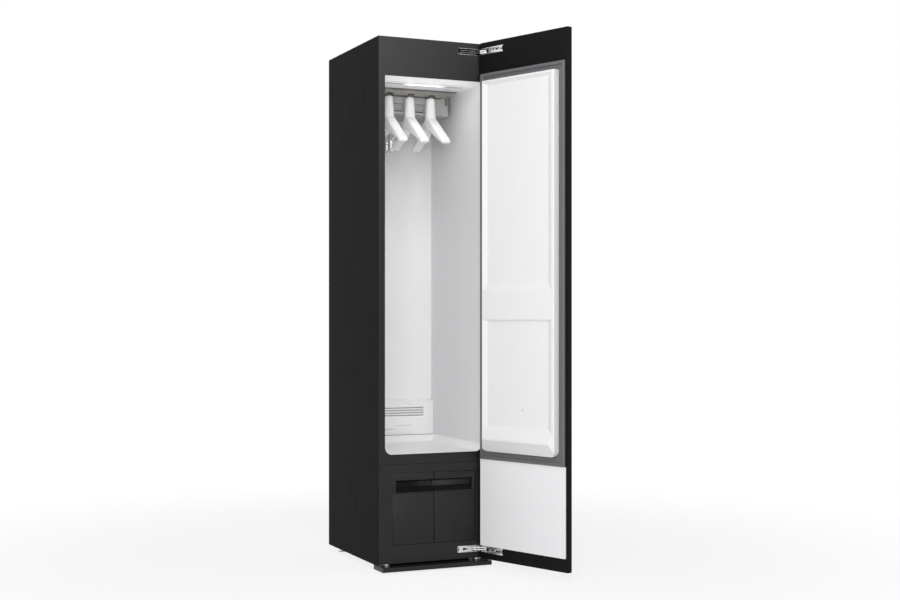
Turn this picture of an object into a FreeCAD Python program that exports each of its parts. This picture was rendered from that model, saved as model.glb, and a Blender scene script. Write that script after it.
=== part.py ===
import FreeCAD, Part
import math
import os

from FreeCAD import Rotation, Vector

# Clothes care steam cabinet: a narrow, tall cabinet with a white treatment
# chamber above two water tanks and one full-height door on the right.
#
# Frame: millimetres, +Z up, origin on the floor at the centre of the cabinet's
# footprint, front towards -Y.  "Depth" runs back from the cabinet's front face.
# The door is modelled closed and then swung open to its rest position.

os.makedirs("parts", exist_ok=True)

# ------------------------------------------------------------------- clearances
RUNNING_GAP = 0.4
PIN_RUNNING_GAP = 0.05
OVERCUT = 1.0

# ---------------------------------------------------------------- cabinet body
CABINET_WIDTH = 445.0
CABINET_HEIGHT = 1960.0
CABINET_DEPTH = 552.0
SHEET = 1.2
SHEET_RETURN = 14.0
SIDE_SKIRT = 6.0
FASCIA_THICKNESS = 3.0
FASCIA_GAP = 1.0
STILE_WIDTH = 26.3
REAR_SPACE = 62.0
HALF_WIDTH = CABINET_WIDTH / 2
FRONT_Y = -CABINET_DEPTH / 2
INNER_HALF_WIDTH = HALF_WIDTH - SHEET
OPENING_HALF_WIDTH = HALF_WIDTH - STILE_WIDTH
REAR_SHEET_DEPTH = CABINET_DEPTH - 2 * SHEET

# -------------------------------------------------------------- levelling feet
FOOT_SIDE_INSET = 40.0
REAR_FOOT_INSET = 48.0
FOOT_PAD_RADIUS = 20.0
FOOT_PAD_HEIGHT = 5.6
FOOT_PAD_BEVEL = 2.0
FOOT_COLLAR_RADIUS = 15.0
FOOT_COLLAR_ROOM = 8.0
FOOT_STEM_RADIUS = 5.0
FOOT_STEM_RISE = 32.0
FOOT_BOSS_RADIUS = 11.0
FOOT_BOSS_HEIGHT = 20.0

# ------------------------------------------------------------ base and plinth
PLINTH_HEIGHT = 16.0
PLINTH_PROJECTION = 36.0
PLINTH_DEPTH = 94.0
PLINTH_SIDE_INSET = 4.0
PLINTH_RIB = 12.0
PLINTH_EDGE_RADIUS = 2.0
BASE_SHEET = 2.0
BASE_RIM = 18.0
PLINTH_BOTTOM_Z = FOOT_PAD_HEIGHT + RUNNING_GAP
PLINTH_TOP_Z = PLINTH_BOTTOM_Z + PLINTH_HEIGHT
BASE_Z = PLINTH_TOP_Z + FOOT_COLLAR_ROOM
BASE_FLOOR_Z = BASE_Z + BASE_SHEET

# ------------------------------------------------------------ hinges, in height
HINGE_HALF_HEIGHT = 12.0
HINGE_BASE_GAP = 3.0
HINGE_FLANGE_GAP = 6.5
HINGE_BOTTOM_Z = BASE_Z + max(BASE_RIM, FOOT_BOSS_HEIGHT) + HINGE_BASE_GAP + HINGE_HALF_HEIGHT
HINGE_TOP_Z = CABINET_HEIGHT - SHEET_RETURN - HINGE_FLANGE_GAP - HINGE_HALF_HEIGHT

# ------------------------------------------------------------------ water tanks
TANK_SIDE_SPACE = 55.0
TANK_HINGE_GAP = 20.0
TANK_HEIGHT = 262.0
TANK_SEAM = 1.5
TANK_SEAM_ROUND = 3.0
TANK_SEAM_NOTCH = 2.5
TANK_FRONT_THICKNESS = 34.0
TANK_DEPTH = 190.0
TANK_WALL = 2.5
TANK_CORNER = 12.0
TANK_LID_HEIGHT = 10.0
TANK_LID_SHEET = 4.0
TANK_CAP_RADIUS = 26.0
TANK_SIDE_CLEARANCE = 3.0
TANK_GROOVE = 1.5
TANK_GROOVE_DROP = 3.0
GRIP_END_INSET = 14.5
GRIP_DROP = 26.0
GRIP_HEIGHT = 45.0
GRIP_DEPTH = 26.0
GRIP_LIP = 6.0
GRIP_CEILING_DROP = 8.0
GRIP_FLOOR_RISE = 18.0
TANK_OPENING_GAP = 1.0
TANK_OPENING_RADIUS = 3.0
BAY_WALL = 2.5
BAY_LEG_WIDTH = 16.0
BAY_LEG_INSET = 30.0
TANK_PAIR_HALF_WIDTH = HALF_WIDTH - TANK_SIDE_SPACE
TANK_BOTTOM_Z = HINGE_BOTTOM_Z + HINGE_HALF_HEIGHT + TANK_HINGE_GAP
TANK_TOP_Z = TANK_BOTTOM_Z + TANK_HEIGHT
GRIP_HALF_WIDTH = TANK_PAIR_HALF_WIDTH - GRIP_END_INSET
GRIP_TOP_Z = TANK_TOP_Z - GRIP_DROP
GRIP_BOTTOM_Z = GRIP_TOP_Z - GRIP_HEIGHT
BAY_REAR_DEPTH = TANK_DEPTH + TANK_OPENING_GAP + BAY_WALL

# ----------------------------------------------------------- treatment chamber
FASCIA_HEAD = 33.0
CHAMBER_SILL = 37.4
TOP_BAY_HEIGHT = 142.5
CEILING_DROP = 11.5
CEILING_SLOPE_DEPTH = 42.0
CHAMBER_CORNER_RADIUS = 28.0
TRAY_REAR_RADIUS = 12.0
LINER = 2.5
LINER_FLANGE = 8.0
FRONT_SEAM_Z = TANK_TOP_Z + FASCIA_HEAD
CHAMBER_FLOOR_Z = FRONT_SEAM_Z + CHAMBER_SILL
TRAY_RIM_Z = CHAMBER_FLOOR_Z + CHAMBER_CORNER_RADIUS
CHAMBER_TOP_Z = CABINET_HEIGHT - TOP_BAY_HEIGHT
CEILING_Z = CHAMBER_TOP_Z - CEILING_DROP
CHAMBER_DEPTH = CABINET_DEPTH - REAR_SPACE
CHAMBER_REAR = CHAMBER_DEPTH + LINER
LINER_FRONT = FASCIA_THICKNESS
TOP_BAY_FLOOR_Z = CHAMBER_TOP_Z + LINER

# ------------------------------------------------------------------ light strip
LIGHT_DEPTH = 84.0
LIGHT_WIDTH = 24.0
LIGHT_END_INSET = 39.2
LENS_THICKNESS = 4.0
LENS_FLANGE = 4.0
LIGHT_HALF_LENGTH = OPENING_HALF_WIDTH - LIGHT_END_INSET

# ------------------------------------------------------------------ hanger rail
RAIL_DEPTH = 189.0
RAIL_WIDTH = 73.0
RAIL_HEIGHT = 21.0
RAIL_WALL = 2.0
RAIL_END_INSET = 13.2
RAIL_FRONT_RUN = 52.0
RAIL_END_RUN = 50.0
RAIL_REVEAL = 1.5
RAIL_REVEAL_INSET = 5.0
RAIL_HALF_LENGTH = OPENING_HALF_WIDTH - RAIL_END_INSET
RAIL_REAR = RAIL_DEPTH + RAIL_WIDTH
RAIL_BOTTOM_Z = CEILING_Z - RAIL_HEIGHT

# ---------------------------------------------------------------------- hangers
HANGER_COUNT = 3
HANGER_PITCH = 87.5
HANGER_REAR_INSET = 20.0
HANGER_NAMES = ("trouser_hanger", "middle_hanger", "right_hanger")
HEAD_WIDTH = 24.0
HEAD_FRONT = 6.0
HEAD_REAR = 14.0
HEAD_THICKNESS = 4.0
HEAD_ROOM = 2.0
STEM_WIDTH = 10.0
NECK_DROP = 35.0
NECK_LENGTH = 67.0
NECK_RADIUS = 19.5
NECK_TOP_BEVEL = 3.0
ARM_HALF_WIDTH = 19.0
ARM_HALF_SPAN = 155.0
ARM_ROOT = 17.0
ARM_TIP_DROP = 98.0
ARM_TIP_HEIGHT = 20.0
ARM_TIP_RADIUS = 9.0
ARM_ROUND = 8.0
ARCH_DROP = 43.0
ARCH_RADIUS = 12.0
AIR_SLOT_COUNT = 4
AIR_SLOT_START = 42.0
AIR_SLOT_PITCH = 22.0
AIR_SLOT_SIZE = (16.0, 4.0, 6.0)
HANGER_DEPTH = RAIL_REAR - HANGER_REAR_INSET
HEAD_BOTTOM_Z = RAIL_BOTTOM_Z + RAIL_WALL + RUNNING_GAP
NECK_TOP_Z = CEILING_Z - NECK_DROP
SHOULDER_Z = NECK_TOP_Z - NECK_LENGTH

# ----------------------------------------------------------------- trouser clips
CLIP_BAR_RADIUS = 3.0
CLIP_BAR_DROP = 102.0
CLIP_BAR_SEAT = 8.0
CLIP_OFFSET = 19.0
CLIP_WIDTH = 26.0
CLIP_EYE_RADIUS = 5.4
CLIP_EYE_GAP = 0.5
CLIP_HANDLE_RISE = 26.0
CLIP_WAIST_RISE = 6.0
CLIP_JAW_DROP = 37.0
CLIP_PLATE = 1.6
CLIP_PLATE_OFFSET = 4.0
CLIP_HANDLE_FLARE = 7.0
CLIP_LIP = 4.0
CLIP_LIP_BEND = 6.0
CLIP_CLOSED_GAP = 1.0
CLIP_BAR_Z = SHOULDER_Z - CLIP_BAR_DROP

# ------------------------------------------------------------- air outlet housing
JET_END_INSET = 22.7
JET_RAIL_GAP = 4.0
JET_HEIGHT = 87.0
JET_WALL = 3.0
JET_EDGE_RADIUS = 2.5
JET_RECESS_WIDTH = 56.0
JET_RECESS_HEIGHT = 32.0
JET_RECESS_DEPTH = 14.0
JET_RECESS_RADIUS = 2.0
JET_SLIT_HEIGHT = 5.0
JET_SLIT_INSET = 2.0
JET_NOTCH_WIDTH = 13.0
JET_NOTCH_HEIGHT = 31.0
JET_NOTCH_DROP = 13.0
JET_NOTCH_INSET = 2.0
JET_SILL = 10.0
JET_HALF_WIDTH = OPENING_HALF_WIDTH - JET_END_INSET
JET_FRONT_DEPTH = RAIL_REAR + JET_RAIL_GAP
JET_BOTTOM_Z = CEILING_Z - JET_HEIGHT
JET_NOTCH_Z = CEILING_Z - JET_NOTCH_DROP - JET_NOTCH_HEIGHT

# ------------------------------------------------------------ rear intake cover
INTAKE_THICKNESS = 24.0
INTAKE_GAP = 2.0
INTAKE_HEIGHT = 139.6
INTAKE_WALL = 2.5
INTAKE_SLOPE = 6.0
LOUVRE_END_INSET = 44.7
LOUVRE_FILTER_GAP = 36.0
LOUVRE_SLOT_HEIGHT = 5.0
LOUVRE_SLOT_RISE = 3.0
LOUVRE_SLOT_PITCH = 10.0
LOUVRE_SLOT_COUNT = 4
FILTER_HALF_WIDTH = 101.0
FILTER_RISE = 6.6
FILTER_HEIGHT = 31.0
FILTER_WALL = 2.5
FILTER_PROUD = 1.5
FILTER_GRIP_HALF_WIDTH = 23.5
FILTER_GRIP_PULL = 9.0
FILTER_GRIP_DROP = 8.0
FILTER_GRIP_THICKNESS = 3.0
FILTER_GRIP_RADIUS = 4.0
FILTER_SLAT = 1.6
FILTER_SLAT_COUNT = 9
NOZZLE_SIDE_INSET = 46.2
NOZZLE_INSET = 9.0
NOZZLE_RADIUS = 8.0
NOZZLE_LENGTH = 9.0
NOZZLE_BORE = 2.5
NOZZLE_WALL = 2.5
INTAKE_FRONT_DEPTH = CHAMBER_DEPTH - INTAKE_THICKNESS
INTAKE_BOTTOM_Z = TRAY_RIM_Z + INTAKE_GAP
INTAKE_TOP_Z = INTAKE_BOTTOM_Z + INTAKE_HEIGHT
FILTER_BOTTOM_Z = INTAKE_BOTTOM_Z + FILTER_RISE
FILTER_TOP_Z = FILTER_BOTTOM_Z + FILTER_HEIGHT
LOUVRE_HALF_WIDTH = OPENING_HALF_WIDTH - LOUVRE_END_INSET
LOUVRE_BOTTOM_Z = FILTER_TOP_Z + LOUVRE_FILTER_GAP
NOZZLE_X = -OPENING_HALF_WIDTH + NOZZLE_SIDE_INSET

# ------------------------------------------------------------ door and its pins
DOOR_GAP = 9.0
DOOR_EDGE_INSET = 1.0
DOOR_PLINTH_GAP = 7.3
DOOR_GLASS = 3.0
DOOR_GLASS_INSET = 1.5
DOOR_GLASS_RADIUS = 1.5
DOOR_WALL = 2.5
DOOR_POCKET_SKIN = 0.6
DOOR_HINGE_EDGE_RADIUS = 8.0
DOOR_FREE_EDGE_RADIUS = 3.0
DOOR_OPEN_DEG = 109.7
PIN_SIDE_INSET = 22.0
PIN_BEHIND_INNER_FACE = 14.0
PIN_RADIUS = 3.0
HINGE_EYE_RADIUS = 6.0
DOOR_BOTTOM_Z = PLINTH_TOP_Z + DOOR_PLINTH_GAP
DOOR_WIDTH = CABINET_WIDTH - 2 * DOOR_EDGE_INSET
HINGE_EDGE_X = HALF_WIDTH - DOOR_EDGE_INSET
DOOR_INNER_DEPTH = -DOOR_GAP
POCKET_DEPTH = PIN_BEHIND_INNER_FACE + HINGE_EYE_RADIUS + RUNNING_GAP
DOOR_FRAME_DEPTH = POCKET_DEPTH + DOOR_POCKET_SKIN
PIN_X = HALF_WIDTH - PIN_SIDE_INSET
PIN_DEPTH = DOOR_INNER_DEPTH - PIN_BEHIND_INNER_FACE
PIN_AXIS = Vector(PIN_X, FRONT_Y + PIN_DEPTH, 0)

# --------------------------------------------------------------- door inner side
PLUG_HINGE_CLEARANCE = 6.7
PLUG_FREE_CLEARANCE = 16.2
PLUG_FLOOR_CLEARANCE = 5.6
PLUG_TOP_CLEARANCE = 6.0
PLUG_HEIGHT = 28.0
PLUG_EDGE = 2.0
PLUG_FOOT_BEVEL = 12.0
PLUG_LOWER_CORNER = 24.0
PLUG_WALL = 2.5
RIM_WIDTH = 12.5
RIM_SLOPE = 20.0
FIELD_DEPTH = 8.0
FIELD_TOP_RIM = 8.0
FIELD_TOP_SLOPE = 10.0
BAND_BOTTOM_RISE = 490.0
BAND_HEIGHT = 105.0
BAND_UPPER_SLOPE = 24.0
BAND_LOWER_SLOPE = 6.0
LEDGE_HEIGHT = 44.0
LEDGE_ROOT_RISE = 17.0
LEDGE_LIP_RISE = 42.0
LEDGE_LIP_HEIGHT = 9.0
LEDGE_SLOPE_RISE = 31.0
LEDGE_END_TAPER = 14.0
DRAIN_HOLE_RISE = 160.0
DRAIN_HOLE_OFFSET = 24.25
DRAIN_HOLE_RADIUS = 2.6
PLUG_HINGE_EDGE = HINGE_EDGE_X - OPENING_HALF_WIDTH + PLUG_HINGE_CLEARANCE
PLUG_FREE_EDGE = HINGE_EDGE_X + OPENING_HALF_WIDTH - PLUG_FREE_CLEARANCE
PLUG_BOTTOM_Z = CHAMBER_FLOOR_Z + PLUG_FLOOR_CLEARANCE
PLUG_TOP_Z = CHAMBER_TOP_Z - PLUG_TOP_CLEARANCE
BAND_BOTTOM_Z = PLUG_BOTTOM_Z + BAND_BOTTOM_RISE
BAND_TOP_Z = BAND_BOTTOM_Z + BAND_HEIGHT
LEDGE_LIP_Z = PLUG_BOTTOM_Z + LEDGE_LIP_RISE
LEDGE_LIP_TOP_Z = LEDGE_LIP_Z + LEDGE_LIP_HEIGHT
LEDGE_TOP_Z = LEDGE_LIP_TOP_Z + LEDGE_SLOPE_RISE

# ------------------------------------------------------------------ door gasket
GASKET_HINGE_MARGIN = 6.0
GASKET_FREE_MARGIN = 11.5
GASKET_TOP_LAP = 25.5
GASKET_SILL_LAP = 26.4
GASKET_FLANGE = 2.4
GASKET_PLUG_GAP = 3.0
GASKET_LIP_SWING = 8.0
GASKET_LIP_WIDTH = 13.0
GASKET_LIP_ROUND = 4.0
GASKET_FACE_GAP = 0.5
GASKET_HEIGHT = DOOR_GAP - GASKET_FACE_GAP
GASKET_TOP_Z = CHAMBER_TOP_Z + GASKET_TOP_LAP
GASKET_BOTTOM_Z = CHAMBER_FLOOR_Z - GASKET_SILL_LAP

# ------------------------------------------------------------- door lower panel
LOWER_PANEL_MARGIN = 8.0
LOWER_PANEL_HINGE_GAP = 1.5
LOWER_PANEL_THICKNESS = 3.0
LOWER_PANEL_RADIUS = 4.0
LOWER_PANEL_BOTTOM_Z = HINGE_BOTTOM_Z + HINGE_HALF_HEIGHT + LOWER_PANEL_HINGE_GAP

# --------------------------------------------------------------- hinge hardware
HINGE_LEAF = 2.6
HINGE_PLAY = 0.5
CUP_LENGTH = 95.0
CUP_PIN_INSET = 11.0
CUP_DEPTH = 17.0
CUP_WALL = 1.6
COVER_LENGTH = 64.0
COVER_NOTCH = 8.0
COVER_WINDOW = (24.0, 18.0, 4.0)
LINK_ROOT_INSET = 16.0
LINK_KNEE_INSET = 20.0
LINK_ROOT_DEPTH = 9.5
LINK_KNEE_DEPTH = 6.0
LINK_BAR_RADIUS = 4.5
LINK_THICKNESS = 4.0
LINK_SPACING = 3.4
LINK_ROOT_PIN = 3.5
LINK_KNEE_PIN = 2.5
BRACKET_WEB = 48.0
BRACKET_WEB_THICKNESS = 3.0
BRACKET_START = 9.0
BRACKET_END = 123.0
BRACKET_PLATE = 2.0
BRACKET_NOTCH = 9.0
BRACKET_FORK_HALF = 7.0
BRACKET_LEAF_DROP = 8.0
BRACKET_SLOT_HALF = 2.5
BRACKET_LONG_SLOT = (84.0, 98.0)
BRACKET_SHORT_SLOT = (62.0, 72.0)
CUP_END_X = PIN_X - CUP_PIN_INSET
CUP_START_X = CUP_END_X - CUP_LENGTH
LINK_ROOT = (CUP_START_X + LINK_ROOT_INSET, LINK_ROOT_DEPTH)
LINK_KNEE = (CUP_END_X - LINK_KNEE_INSET, LINK_KNEE_DEPTH)
LINK_EYE = (PIN_X, PIN_DEPTH)

# -------------------------------------------------------- places of the four feet
FOOT_CUP_GAP = 2.0
FRONT_FOOT_DEPTH = CUP_DEPTH + FOOT_CUP_GAP + FOOT_STEM_RADIUS
FRONT_FEET = [(side * (HALF_WIDTH - FOOT_SIDE_INSET), FRONT_FOOT_DEPTH) for side in (-1, 1)]
REAR_FEET = [(x, CABINET_DEPTH - REAR_FOOT_INSET) for x, _ in FRONT_FEET]

# ----------------------------------------------------------------- inner machine
COMPRESSOR_RADIUS = 68.0
COMPRESSOR_HEIGHT = 190.0
COMPRESSOR_SIDE_GAP = 61.3
COMPRESSOR_REAR_GAP = 51.6
COMPRESSOR_FOOT = (9.0, 10.0)
COMPRESSOR_FOOT_INSET = 12.0
COMPRESSOR_PLATE = 4.0
COMPRESSOR_DOME = 34.0
EXCHANGER_X = 98.0
EXCHANGER_SIZE = (180.0, 110.0, 170.0)
EXCHANGER_BAY_GAP = 20.0
EXCHANGER_FIN = 1.2
EXCHANGER_FIN_COUNT = 22
EXCHANGER_TRAY = 10.0
STEAMER_X = -118.0
STEAMER_BAY_GAP = 10.0
STEAMER_RADIUS = 42.0
STEAMER_HEIGHT = 110.0
STEAMER_FLANGE = 5.0
STEAMER_STUB = (9.0, 16.0)
PUMP_X = 60.0
PUMP_REAR_GAP = 37.6
PUMP_RADIUS = 24.0
PUMP_HEIGHT = 70.0
PUMP_VOLUTE = 8.0
PUMP_VOLUTE_HEIGHT = 26.0
PUMP_SPOUT_RADIUS = 7.0
PUMP_SPOUT_REACH = 26.0
BLOWER_SIDE_GAP = 40.0
BLOWER_DEPTH = 380.0
BLOWER_RADIUS = 68.0
BLOWER_HEIGHT = 62.0
BLOWER_WALL = 2.5
BLOWER_SPOUT = 26.0
BLOWER_EYE = 37.0
BLOWER_SHAFT_RISE = 30.0
ROTOR_RADIUS = 54.0
ROTOR_HEIGHT = 40.0
ROTOR_GAP = 4.0
ROTOR_DISC = 3.0
ROTOR_HUB_RADIUS = 12.0
ROTOR_HUB_HEIGHT = 20.0
ROTOR_BLADES = 20
ROTOR_BLADE = 1.6
ROTOR_BLADE_DEPTH = 12.0
ROTOR_BLADE_LEAN = 28.0
ROTOR_BORE = 4.0
CONTROL_SIZE = (150.0, 120.0, 46.0)
CONTROL_SIDE_GAP = 36.3
CONTROL_DEPTH = 340.0
CONTROL_CORNER = 4.0
INLET_X = -150.0
INLET_RISE = 90.0
INLET_SIZE = (48.0, 26.0)
INLET_DEPTH = 24.0
INLET_LIP = 3.0
INLET_MOUTH_INSET = (8.0, 5.0)
INLET_MOUTH_DEPTH = 16.0
VENT_COLUMNS = 2
VENT_ROWS = 9
VENT_SLOT = (120.0, 5.0)
VENT_PITCH = 14.0
VENT_RISE = 160.0
VENT_COLUMN_X = 86.0
COMPRESSOR_X = -(INNER_HALF_WIDTH - COMPRESSOR_SIDE_GAP - COMPRESSOR_RADIUS)
COMPRESSOR_CENTRE = REAR_SHEET_DEPTH - COMPRESSOR_REAR_GAP - COMPRESSOR_RADIUS
EXCHANGER_FRONT = BAY_REAR_DEPTH + EXCHANGER_BAY_GAP
STEAMER_CENTRE = BAY_REAR_DEPTH + STEAMER_BAY_GAP + STEAMER_RADIUS + STEAMER_FLANGE
PUMP_CENTRE = REAR_SHEET_DEPTH - PUMP_REAR_GAP - PUMP_RADIUS - PUMP_VOLUTE
BLOWER_X = -(INNER_HALF_WIDTH - BLOWER_SIDE_GAP - BLOWER_RADIUS)
CONTROL_X1 = INNER_HALF_WIDTH - CONTROL_SIDE_GAP
INLET_Z = BASE_Z + INLET_RISE
VENT_BOTTOM_Z = BASE_Z + VENT_RISE


# ------------------------------------------------------------------ solid makers
def block(x0, x1, d0, d1, z0, z1):
    """Return a box between two x, two depths and two heights."""
    return Part.makeBox(x1 - x0, d1 - d0, z1 - z0, Vector(x0, FRONT_Y + d0, z0))


def prism(corners, direction):
    """Return a flat outline of corner points run along a direction."""
    return Part.Face(Part.makePolygon(corners + corners[:1])).extrude(direction)


def plan_prism(outline, z0, z1):
    """Return an outline of (x, depth) points run up from z0 to z1."""
    corners = [Vector(x, FRONT_Y + d, z0) for x, d in outline]
    return prism(corners, Vector(0, 0, z1 - z0))


def side_prism(outline, x0, x1):
    """Return an outline of (depth, z) points run from x0 to x1."""
    corners = [Vector(x0, FRONT_Y + d, z) for d, z in outline]
    return prism(corners, Vector(x1 - x0, 0, 0))


def front_prism(outline, d0, d1):
    """Return an outline of (x, z) points run back from depth d0 to d1."""
    corners = [Vector(x, FRONT_Y + d0, z) for x, z in outline]
    return prism(corners, Vector(0, d1 - d0, 0))


def edges_along(shape, direction, test):
    """Return the straight edges along a direction whose middle passes a test."""
    chosen = []
    for edge in shape.Edges:
        if len(edge.Vertexes) != 2:
            continue
        run = edge.Vertexes[1].Point - edge.Vertexes[0].Point
        middle = (edge.Vertexes[1].Point + edge.Vertexes[0].Point) * 0.5
        if run.Length > 0 and abs(abs(run.normalize().dot(direction)) - 1) < 1e-6 and test(middle):
            chosen.append(edge)
    return chosen


def rounded(shape, radius, direction, test=lambda middle: True):
    """Return the shape with the chosen straight edges filleted."""
    return shape.makeFillet(radius, edges_along(shape, direction, test))


def front_plate(x0, x1, z0, z1, d0, d1, low_radius=0.0, high_radius=0.0):
    """Return an upright plate whose lower and upper corners are rounded."""
    plate = block(x0, x1, d0, d1, z0, z1)
    middle_z = (z0 + z1) / 2
    if low_radius:
        plate = rounded(plate, low_radius, Vector(0, 1, 0), lambda p: p.z < middle_z)
    if high_radius:
        plate = rounded(plate, high_radius, Vector(0, 1, 0), lambda p: p.z > middle_z)
    return plate


def upright_cylinder(x, depth, z0, z1, radius):
    """Return a vertical cylinder."""
    return Part.makeCylinder(radius, z1 - z0, Vector(x, FRONT_Y + depth, z0))


def turned(x, depth, outline):
    """Return an outline of (radius, z) points revolved about a vertical axis."""
    corners = [Vector(x + r, FRONT_Y + depth, z) for r, z in outline]
    face = Part.Face(Part.makePolygon(corners + corners[:1]))
    return face.revolve(Vector(x, FRONT_Y + depth, 0), Vector(0, 0, 1), 360)


def capsule(start, end, radius, z0, z1):
    """Return a link with round ends between two (x, depth) points."""
    a = Vector(start[0], FRONT_Y + start[1], z0)
    b = Vector(end[0], FRONT_Y + end[1], z0)
    along = (b - a).normalize()
    across = Vector(-along.y, along.x, 0) * radius
    far_arc = Part.Arc(b + across, b + along * radius, b - across)
    near_arc = Part.Arc(a - across, a - along * radius, a + across)
    lines = [Part.LineSegment(a + across, b + across), Part.LineSegment(b - across, a - across)]
    wire = Part.Wire([lines[0].toShape(), far_arc.toShape(), lines[1].toShape(), near_arc.toShape()])
    return Part.Face(wire).extrude(Vector(0, 0, z1 - z0))


def joined(first, *others):
    """Return solids fused into one, with the seams between flat faces removed."""
    return first.fuse(list(others)).removeSplitter()


def swung_open(shape):
    """Return a piece of the closed door turned to the door's rest position."""
    shape.rotate(PIN_AXIS, Vector(0, 0, 1), DOOR_OPEN_DEG)
    return shape


def save(name, shape):
    """Write one piece, as a single solid where it is one."""
    if len(shape.Solids) == 1:
        shape = shape.Solids[0]
    shape.exportStep(f"parts/{name}.step")


# ----------------------------------------------------------------- outer cladding
def side_panel(side):
    """Folded side sheet with a return behind the fascia and one at the rear."""
    inner = INNER_HALF_WIDTH
    hem = HALF_WIDTH - SHEET_RETURN
    flange = FASCIA_THICKNESS
    outline = [
        (HALF_WIDTH, 0), (HALF_WIDTH, CABINET_DEPTH), (hem, CABINET_DEPTH),
        (hem, CABINET_DEPTH - SHEET), (inner, CABINET_DEPTH - SHEET), (inner, flange + SHEET),
        (hem, flange + SHEET), (hem, flange), (inner, flange), (inner, 0),
    ]
    bottom_z = BASE_Z - SIDE_SKIRT
    panel = plan_prism([(side * x, d) for x, d in outline], bottom_z, CABINET_HEIGHT)
    returns = block(-inner, inner, 0, CABINET_DEPTH, CABINET_HEIGHT - SHEET, CABINET_HEIGHT)
    skirt = block(-inner, inner, 0, CABINET_DEPTH, bottom_z, BASE_Z)
    return panel.cut([returns, skirt])


def top_panel():
    """Lid sheet with down-turned front and rear flanges between the side hems."""
    hem = HALF_WIDTH - SHEET_RETURN
    low = CABINET_HEIGHT - SHEET_RETURN
    under = CABINET_HEIGHT - SHEET
    front = FASCIA_THICKNESS
    rear = CABINET_DEPTH
    channel = side_prism([
        (front, low), (front + SHEET, low), (front + SHEET, under), (rear - SHEET, under),
        (rear - SHEET, low), (rear, low), (rear, CABINET_HEIGHT), (front, CABINET_HEIGHT),
    ], -hem, hem)
    sheet = block(-INNER_HALF_WIDTH, INNER_HALF_WIDTH, 0, CABINET_DEPTH, under, CABINET_HEIGHT)
    return joined(channel, sheet)


def rear_panel():
    """Back sheet with vent slots to the machine space and the inlet's cut-out."""
    top_z = CABINET_HEIGHT - SHEET
    near, far = REAR_SHEET_DEPTH - OVERCUT, CABINET_DEPTH + OVERCUT
    panel = block(-INNER_HALF_WIDTH, INNER_HALF_WIDTH, REAR_SHEET_DEPTH, REAR_SHEET_DEPTH + SHEET,
                  BASE_Z, top_z)
    width, height = VENT_SLOT
    cuts = []
    for column in range(VENT_COLUMNS):
        x = (2 * column - 1) * VENT_COLUMN_X
        for row in range(VENT_ROWS):
            z = VENT_BOTTOM_Z + row * VENT_PITCH
            cuts.append(block(x - width / 2, x + width / 2, near, far, z, z + height))
    inlet_w, inlet_h = INLET_SIZE
    cuts.append(block(INLET_X - inlet_w / 2, INLET_X + inlet_w / 2, near, far,
                      INLET_Z - inlet_h / 2, INLET_Z + inlet_h / 2))
    return panel.cut(cuts)


def hinge_cup_cut(hinge_z):
    """Room in the fascia for one hinge cup."""
    low, high = hinge_z - HINGE_HALF_HEIGHT, hinge_z + HINGE_HALF_HEIGHT
    return block(CUP_START_X, CUP_END_X, -OVERCUT, CUP_DEPTH, low, high)


def front_frame():
    """Upper fascia, both stiles and the sill around the chamber's mouth."""
    seam = FRONT_SEAM_Z + FASCIA_GAP / 2
    frame = block(-INNER_HALF_WIDTH, INNER_HALF_WIDTH, 0, FASCIA_THICKNESS, seam,
                  CABINET_HEIGHT - SHEET)
    mouth = front_plate(-OPENING_HALF_WIDTH, OPENING_HALF_WIDTH, CHAMBER_FLOOR_Z, CHAMBER_TOP_Z,
                        -OVERCUT, FASCIA_THICKNESS + OVERCUT, low_radius=CHAMBER_CORNER_RADIUS)
    return frame.cut([mouth, hinge_cup_cut(HINGE_TOP_Z)])


def front_lower_panel():
    """Lower fascia around the two tanks, with the lower hinge cup's cut-out."""
    seam = FRONT_SEAM_Z - FASCIA_GAP / 2
    panel = block(-INNER_HALF_WIDTH, INNER_HALF_WIDTH, 0, FASCIA_THICKNESS, BASE_Z, seam)
    gap, radius = TANK_OPENING_GAP, TANK_OPENING_RADIUS
    half = TANK_PAIR_HALF_WIDTH + gap
    mouth = front_plate(-half, half, TANK_BOTTOM_Z - gap, TANK_TOP_Z + gap, -OVERCUT,
                        FASCIA_THICKNESS + OVERCUT, low_radius=radius, high_radius=radius)
    return panel.cut([mouth, hinge_cup_cut(HINGE_BOTTOM_Z)])


# -------------------------------------------------------------------- base, plinth
def base_pan():
    """Floor tray of the machine space with a turned-up rim and four foot bosses."""
    rear = REAR_SHEET_DEPTH
    front = FASCIA_THICKNESS
    rim_z = BASE_Z + BASE_RIM
    inner = INNER_HALF_WIDTH
    pan = block(-inner, inner, front, rear, BASE_Z, rim_z)
    hollow = block(-inner + BASE_SHEET, inner - BASE_SHEET, front + BASE_SHEET + SHEET, rear - BASE_SHEET,
                   BASE_FLOOR_Z, rim_z + OVERCUT)
    flange_room = [block(side * inner - SHEET_RETURN, side * inner + SHEET_RETURN, front - OVERCUT,
                         front + SHEET, BASE_Z - OVERCUT, rim_z + OVERCUT) for side in (-1, 1)]
    pan = pan.cut([hollow] + flange_room)
    feet = FRONT_FEET + REAR_FEET
    boss_z = BASE_Z + FOOT_BOSS_HEIGHT
    bosses = [upright_cylinder(x, d, BASE_Z, boss_z, FOOT_BOSS_RADIUS) for x, d in feet]
    bores = [upright_cylinder(x, d, BASE_Z - OVERCUT, boss_z + OVERCUT, FOOT_STEM_RADIUS + PIN_RUNNING_GAP)
             for x, d in feet]
    return joined(pan, *bosses).cut(bores)


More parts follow.
